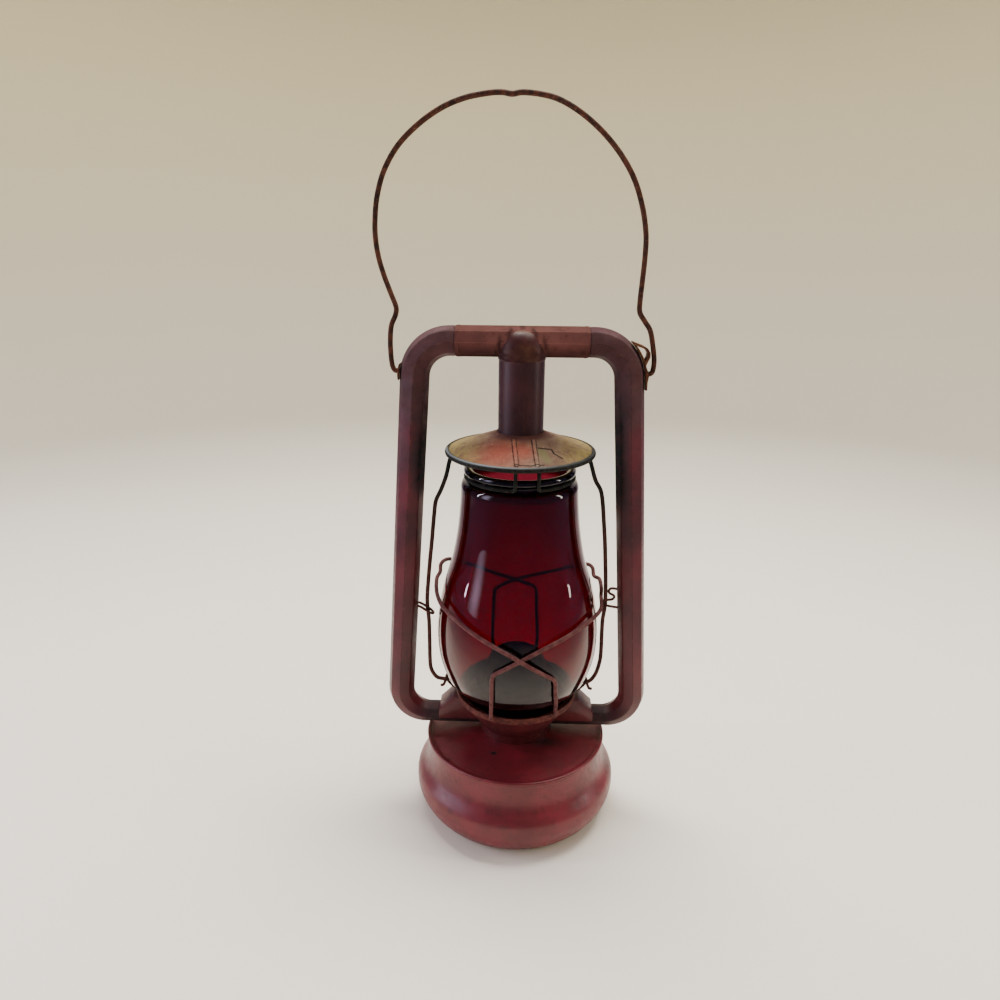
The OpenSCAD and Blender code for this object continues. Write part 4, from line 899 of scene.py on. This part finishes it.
guard_points = {
    "right": [
        [-29, guard_foot, foot_gap], [-28.7, guard_foot + 3, 0], [-28.2, 97, 0], [-25.2, 104.5, 0],
        [-23.8, 113, 0], [-22.9, 124, 0], [-22.5, 129.3, 0], [-20.8, 133, 0], [-13.5, 137.9, 0],
        [-4.9, 143.1, 0], [4.1, 147.9, 0], [14.2, 152, 0.2], [25.5, 155.3, 0.5], [39, 158, 1],
        [53, 159.6, 1.8], [66, 159.2, 2.3], [76, 159.2, 2.5], [85, 161.5, 2.9], [87, 166.5, 4.2],
        [94, 170, 5.2], [103, 168.8, 4.3], [107, 173.2, 6], [114, 173.2, 5.8], [126, 169, 3.4],
        [140, 162, 1.2], [158, 154.5, 1.6], [173, 148.3, 2.8], [184, 145, 1.4], [190.6, 142.2, 0.2],
        [192, 138.5, 0], [192.5, 127, 0], [194, 113, 0], [195.5, 104.5, 0], [197, 97, 0],
        [198, guard_foot + 3, 0], [198, guard_foot, foot_gap],
    ],
    "left": [
        [30.9, guard_foot, foot_gap], [30.4, guard_foot + 3, 0], [29.2, 97, 0], [24.2, 104.5, 0],
        [21.3, 113, 0], [19.8, 121, 0], [19, 125.5, 0], [16.6, 128.9, 0.4], [8.4, 135, 1.3],
        [1.3, 140.3, 2.1], [-4.9, 144.8, 2.8], [-12, 149, 2.7], [-20, 152.4, 2.2], [-30, 155.8, 1.4],
        [-42, 159.6, 1.3], [-55, 163.4, 2], [-68, 165.7, 2.5], [-80, 167.4, 2.5], [-90, 168.9, 2.8],
        [-98, 169.8, 3.4], [-104, 170.8, 4.2], [-112, 171.6, 4.6], [-115.5, 175.8, 6.6],
        [-122, 176.8, 6.4], [-131, 174, 5.2], [-147, 166.5, 2.6], [-163, 158, 0.8], [-175, 152.8, 0.7],
        [-187, 148.3, 0], [-197, 145.5, 0], [-200.5, 143.6, 0], [-202, 139.5, 0], [-202.5, 127, 0],
        [-204, 113, 0], [-205.5, 104.5, 0], [-207, 97, 0], [-209, guard_foot + 3, 0],
        [-209, guard_foot, foot_gap],
    ],
}
for name, points in guard_points.items():
    angle, height, stand_off = np.array(points).T
    route = smooth(polar(angle + np.degrees(globe_turn), guard_radius(height) + stand_off, height), 7)
    away = route * [1, 1, 0]
    seat(wire(f"{name}_guard", route, guard_wire_r, guard_iron, across=away), "lift", "guard_iron",
         f"guard_wire_{name}")

# %% Neck ring
ring_wire_r = 1.2
ring_r, leg_r, leg_top = groove_r + ring_wire_r + 0.25, lip_r + ring_wire_r + 0.5, 265.9
leg_angle = np.degrees(np.arcsin(rib_half / (lip_r + 2)))
ring_open = leg_angle + 3


def ring_leg(way):
    """One leg of the ring, from under the canopy down to the groove, on the way side."""
    angle = way * np.array([leg_angle, leg_angle, leg_angle, leg_angle + 0.6]) + np.degrees(globe_turn)
    return smooth(polar(angle, np.array([leg_r, leg_r, leg_r, leg_r - 0.9]),
                        np.array([leg_top, lip_top + 4, lip_top - 2, ring_z + 1.2])), 6)


around = np.linspace(ring_open, 360 - ring_open, 90) + np.degrees(globe_turn)
ring_path = np.vstack([ring_leg(1), polar(around, ring_r, ring_z), ring_leg(-1)[::-1]])
seat(wire("neck_ring_wire", ring_path, ring_wire_r, ring_iron, across=ring_path * [1, 1, 0] + [0, 0, 0.01]),
     "lift", "rusty_wire", "neck_ring")

# %% Plate loops
loop_wire_r = 1.0
loop_points = [
    [plate_r + 1.2, 0, plate_z + 1.4], [45, 1.2, plate_z + 1.6], [48.6, 2.6, plate_z + 4.4],
    [49.6, 3, 93.8], [49.4, 2.2, 96.8], [49.4, 0, 98], [49.8, -2.2, 96.8], [50.6, -3, 94.2],
    [51.8, -2.2, 91.4], [53.6, -1, 90.2],
]
for side, name in ((-1, "left"), (1, "right")):
    route = smooth(np.array(loop_points) * [side, 1, 1], 6)
    seat(wire(f"{name}_loop", route, loop_wire_r, lift_iron, across=(side, 0, 0.2), sides=12),
         "lift", "rusty_wire", f"{name}_plate_loop")

# %% [markdown]
# ## Pieces kept from the model
# The chamber, the ears, the burner and the filler already have their true shapes. Bent sheet
# never has knife edges though, so the folded and turned ones that show are copied, welded and
# given a small bevel. The others only need their finish.


# %% Copied and bevelled pieces
def eased(node, finish, width, body, slot):
    """A welded copy of a model node with its sharp edges rounded by width mm."""
    sharp = radians(35)
    copy = bpy.data.objects.new(node + "_eased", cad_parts[node].data.copy())
    bpy.context.scene.collection.objects.link(copy)
    weld = copy.modifiers.new("weld", "WELD")
    weld.merge_threshold = 0.002 * MM
    bevel = copy.modifiers.new("bevel", "BEVEL")
    bevel.width, bevel.segments, bevel.limit_method, bevel.angle_limit = width * MM, 2, "ANGLE", sharp
    for name in ("weld", "bevel"):
        with bpy.context.temp_override(object=copy, active_object=copy, selected_objects=[copy]):
            bpy.ops.object.modifier_apply(modifier=name)
    copy.data.materials.clear()
    copy.data.materials.append(finish)
    copy.data.shade_smooth()
    copy.data.set_sharp_from_angle(angle=sharp)
    return seat(copy, body, slot, node)


eased("air_chamber", chamber_paint, 0.5, "root", "red_enamel")
eased("left_ear", strap_iron, 0.2, "root", "strap_iron")
eased("right_ear", strap_iron, 0.2, "root", "strap_iron")
eased("filler_cap", fount_paint, 0.25, "cap", "red_enamel")
eased("wick_knob", burner_brass, 0.2, "knob", "burner_brass")

# %% Finishes on the other nodes
kept = {
    "fount_bottom": fount_paint, "filler_neck": fount_paint, "filler_gasket": cork,
    "burner_collar": sooty_steel, "burner_body": sooty_steel, "burner_cone": sooty_steel,
    "wick_tube": burner_brass, "wick": wick_finish, "raiser_shaft": sooty_steel,
    "wick_spurs": sooty_steel, "canopy_rim_wire": ring_iron, "globe_plate": plate_iron,
}
for node, finish in kept.items():
    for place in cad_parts[node].material_slots:
        place.material = finish
print("finished", len(kept), "kept nodes")

# %% [markdown]
# ## Studio
# A pale floor curves up into a wall all round, so every view has the same calm ground. The real
# room was dim in front of the lantern, and the dark glass and enamel mirror it. A dark wall
# would shade the floor, so the dim room is a sheet that only reflections see. A wide light hangs
# over the bench, and two narrow ones and a glowing window draw the long highlights.


# %% Floor
def studio_floor(radius=1900.0, curve=500.0, wall=1500.0):
    """A disc that turns up through a quarter circle into a wall, as an open surface."""
    flat = np.stack([np.linspace(1, radius - curve, 12), np.zeros(12)], -1)
    turn = np.linspace(0, pi / 2, 16)[1:]
    bend_up = np.stack([radius - curve + curve * np.sin(turn), curve - curve * np.cos(turn)], -1)
    line = np.vstack([flat, bend_up, [[radius, wall]]])
    angle = np.linspace(0, 2 * pi, 96, endpoint=False)
    grid = np.stack([line[:, :1] * np.sin(angle), -line[:, :1] * np.cos(angle),
                     np.repeat(line[:, 1:], 96, 1)], -1)
    paper = Finish("studio_paper", {"Roughness": 0.9})
    paper.tone = paper.mix(paper.noise(400, 2, 1.0), ink(228, 222, 212), ink(236, 231, 223))
    # Painted light: the paper darkens towards the back and turns warm yellow up the wall, standing in for
    # the warm lamp above.
    paper.lay(ink(204, 198, 182), paper.between(paper.axis("Y"), 100, 1300, (0, 0.75)))
    paper.lay(ink(220, 210, 166), paper.between(paper.axis("Z"), 40, 900, (0, 0.85)))
    paper.colour()
    floor = surface("studio_floor", grid[:, ::-1], paper.material)
    floor.data.polygons.foreach_set("use_smooth", [True] * len(floor.data.polygons))
    return floor


floor = studio_floor()
print("floor of", len(floor.data.polygons), "faces")


# %% Dim room and window
def unseen(name, grid, fields, finish, lit=False):
    """An open sheet through a grid of points in metres that the camera itself doesn't see. It
    shows in reflections, and a lit one also gives light and shows through the glass."""
    rows, columns = grid.shape[:2]
    corner = np.arange(rows - 1)[:, None, None] * columns + np.arange(columns - 1)[None, :, None]
    faces = (corner + [0, 1, columns + 1, columns]).reshape(-1, 4)
    mesh = bpy.data.meshes.new(name)
    mesh.from_pydata(grid.reshape(-1, 3).tolist(), [], faces.tolist())
    for field, values in fields.items():
        layer = mesh.attributes.new(field, "FLOAT", "POINT")
        layer.data.foreach_set("value", values.astype(np.float32).ravel())
    mesh.materials.append(finish)
    hung = bpy.data.objects.new(name, mesh)
    hung.visible_camera = hung.visible_shadow = False
    hung.visible_diffuse = hung.visible_transmission = lit
    bpy.context.scene.collection.objects.link(hung)


def dim_room(turn=radians(165), near=0.12):
    """The dim end of the room: a line of [distance, height] turned to each side of the front. It
    dims from the floor's tone over the first 0.3 m and brightens over the last 25 degrees."""
    line = np.array([[near, 0.002], [0.3, 0.002], [0.7, 0.002], [0.9, 0.01], [1.1, 0.06], [1.25, 0.16],
                     [1.3, 0.3], [1.3, 1.5], [1.2, 2.1], [0.9, 2.5]])
    angle = np.linspace(-turn, turn, 57)
    side = np.clip(np.abs(angle) / radians(110), 0, 1) ** 4 * 0.3
    reach = line[:, :1] + side * (line[:, :1] < 1)
    grid = np.stack([reach * np.sin(angle), -reach * np.cos(angle), np.repeat(line[:, 1:], 57, 1)], -1)
    dim = np.clip((line[:, :1] - near) / 0.3, 0, 1) * np.clip((turn - np.abs(angle)) / radians(25), 0, 1)
    cloth = Finish("dim_cloth", {"Roughness": 1.0, "Specular IOR Level": 0.0})
    cloth.tone = ink(230, 225, 216)
    dusk = cloth.mix(cloth.noise(300, 2, 1.0), ink(70, 66, 94), ink(86, 80, 108))
    cloth.lay(dusk, cloth.mask("dim"))
    cloth.colour()
    unseen("dim_room", grid, {"dim": dim}, cloth.material)


def window_glow(name, azimuth, distance, width, low, high, strength, colour):
    """A window seen through its blind: an upright sheet whose light fades towards its edges by
    the squared cosine across and the cosine up."""
    across, up = np.meshgrid(np.linspace(-1, 1, 25), np.linspace(-1, 1, 25))
    a = radians(azimuth)
    middle, along = np.array([-sin(a), -cos(a)]) * distance, np.array([cos(a), -sin(a)])
    spot = middle + across[..., None] * width / 2 * along
    grid = np.dstack([spot, low + (high - low) * (up + 1) / 2])
    fade = np.cos(across * pi / 2) ** 2 * np.cos(up * pi / 2)
    glow = Finish(name + "_light", {"Roughness": 1.0})
    glow.tone = glow.mix(glow.noise(200, 1, 1.0), ink(60, 60, 70), ink(80, 80, 90))
    glow.colour()
    glow.shader.inputs["Emission Color"].default_value = (*colour, 1)
    glow.link(glow.between(glow.mask("glow"), 0, 1, (0, strength)), glow.shader.inputs["Emission Strength"])
    unseen(name, grid, {"glow": fade}, glow.material, lit=True)


dim_room()
window_glow("left_window", 66, 1.1, 0.5, -0.1, 1.2, 6.0, (0.76, 0.7, 1.0))
print("dim room and window hung")


# %% Lights
def soft_light(name, place, target, size, watts, colour):
    """A rectangular light at a place in metres, turned to face a target."""
    lamp = bpy.data.lights.new(name, "AREA")
    lamp.shape, lamp.size, lamp.size_y = "RECTANGLE", *size
    lamp.energy, lamp.color = watts, colour
    holder = bpy.data.objects.new(name, lamp)
    back = unit(np.array(place) - np.array(target))
    side = unit(np.cross((0, 0, 1.0), back))
    turn = np.eye(4)
    turn[:3, :3] = np.stack([side, np.cross(back, side), back], -1)
    turn[:3, 3] = place
    holder.matrix_world = Matrix(turn.tolist())
    bpy.context.scene.collection.objects.link(holder)


soft_light("bench_light", (0.08, 0.3, 1.45), (0, 0, 0), (1.3, 0.5), 46, (1.0, 0.95, 0.87))
soft_light("window_edge", (-1.12, -0.12, 0.55), (0, 0, 0.2), (0.05, 1.0), 6, (0.9, 0.84, 1.0))
soft_light("right_fill", (1.12, -0.1, 0.55), (0, 0, 0.2), (0.08, 0.9), 4, (1.0, 0.92, 0.84))
world = bpy.data.worlds.new("studio_air")
world.use_nodes = True
air = world.node_tree.nodes["Background"].inputs
air["Color"].default_value = (0.95, 0.95, 1.0, 1)
air["Strength"].default_value = 0.4
bpy.context.scene.world = world
print(len(bpy.data.lights), "lights")
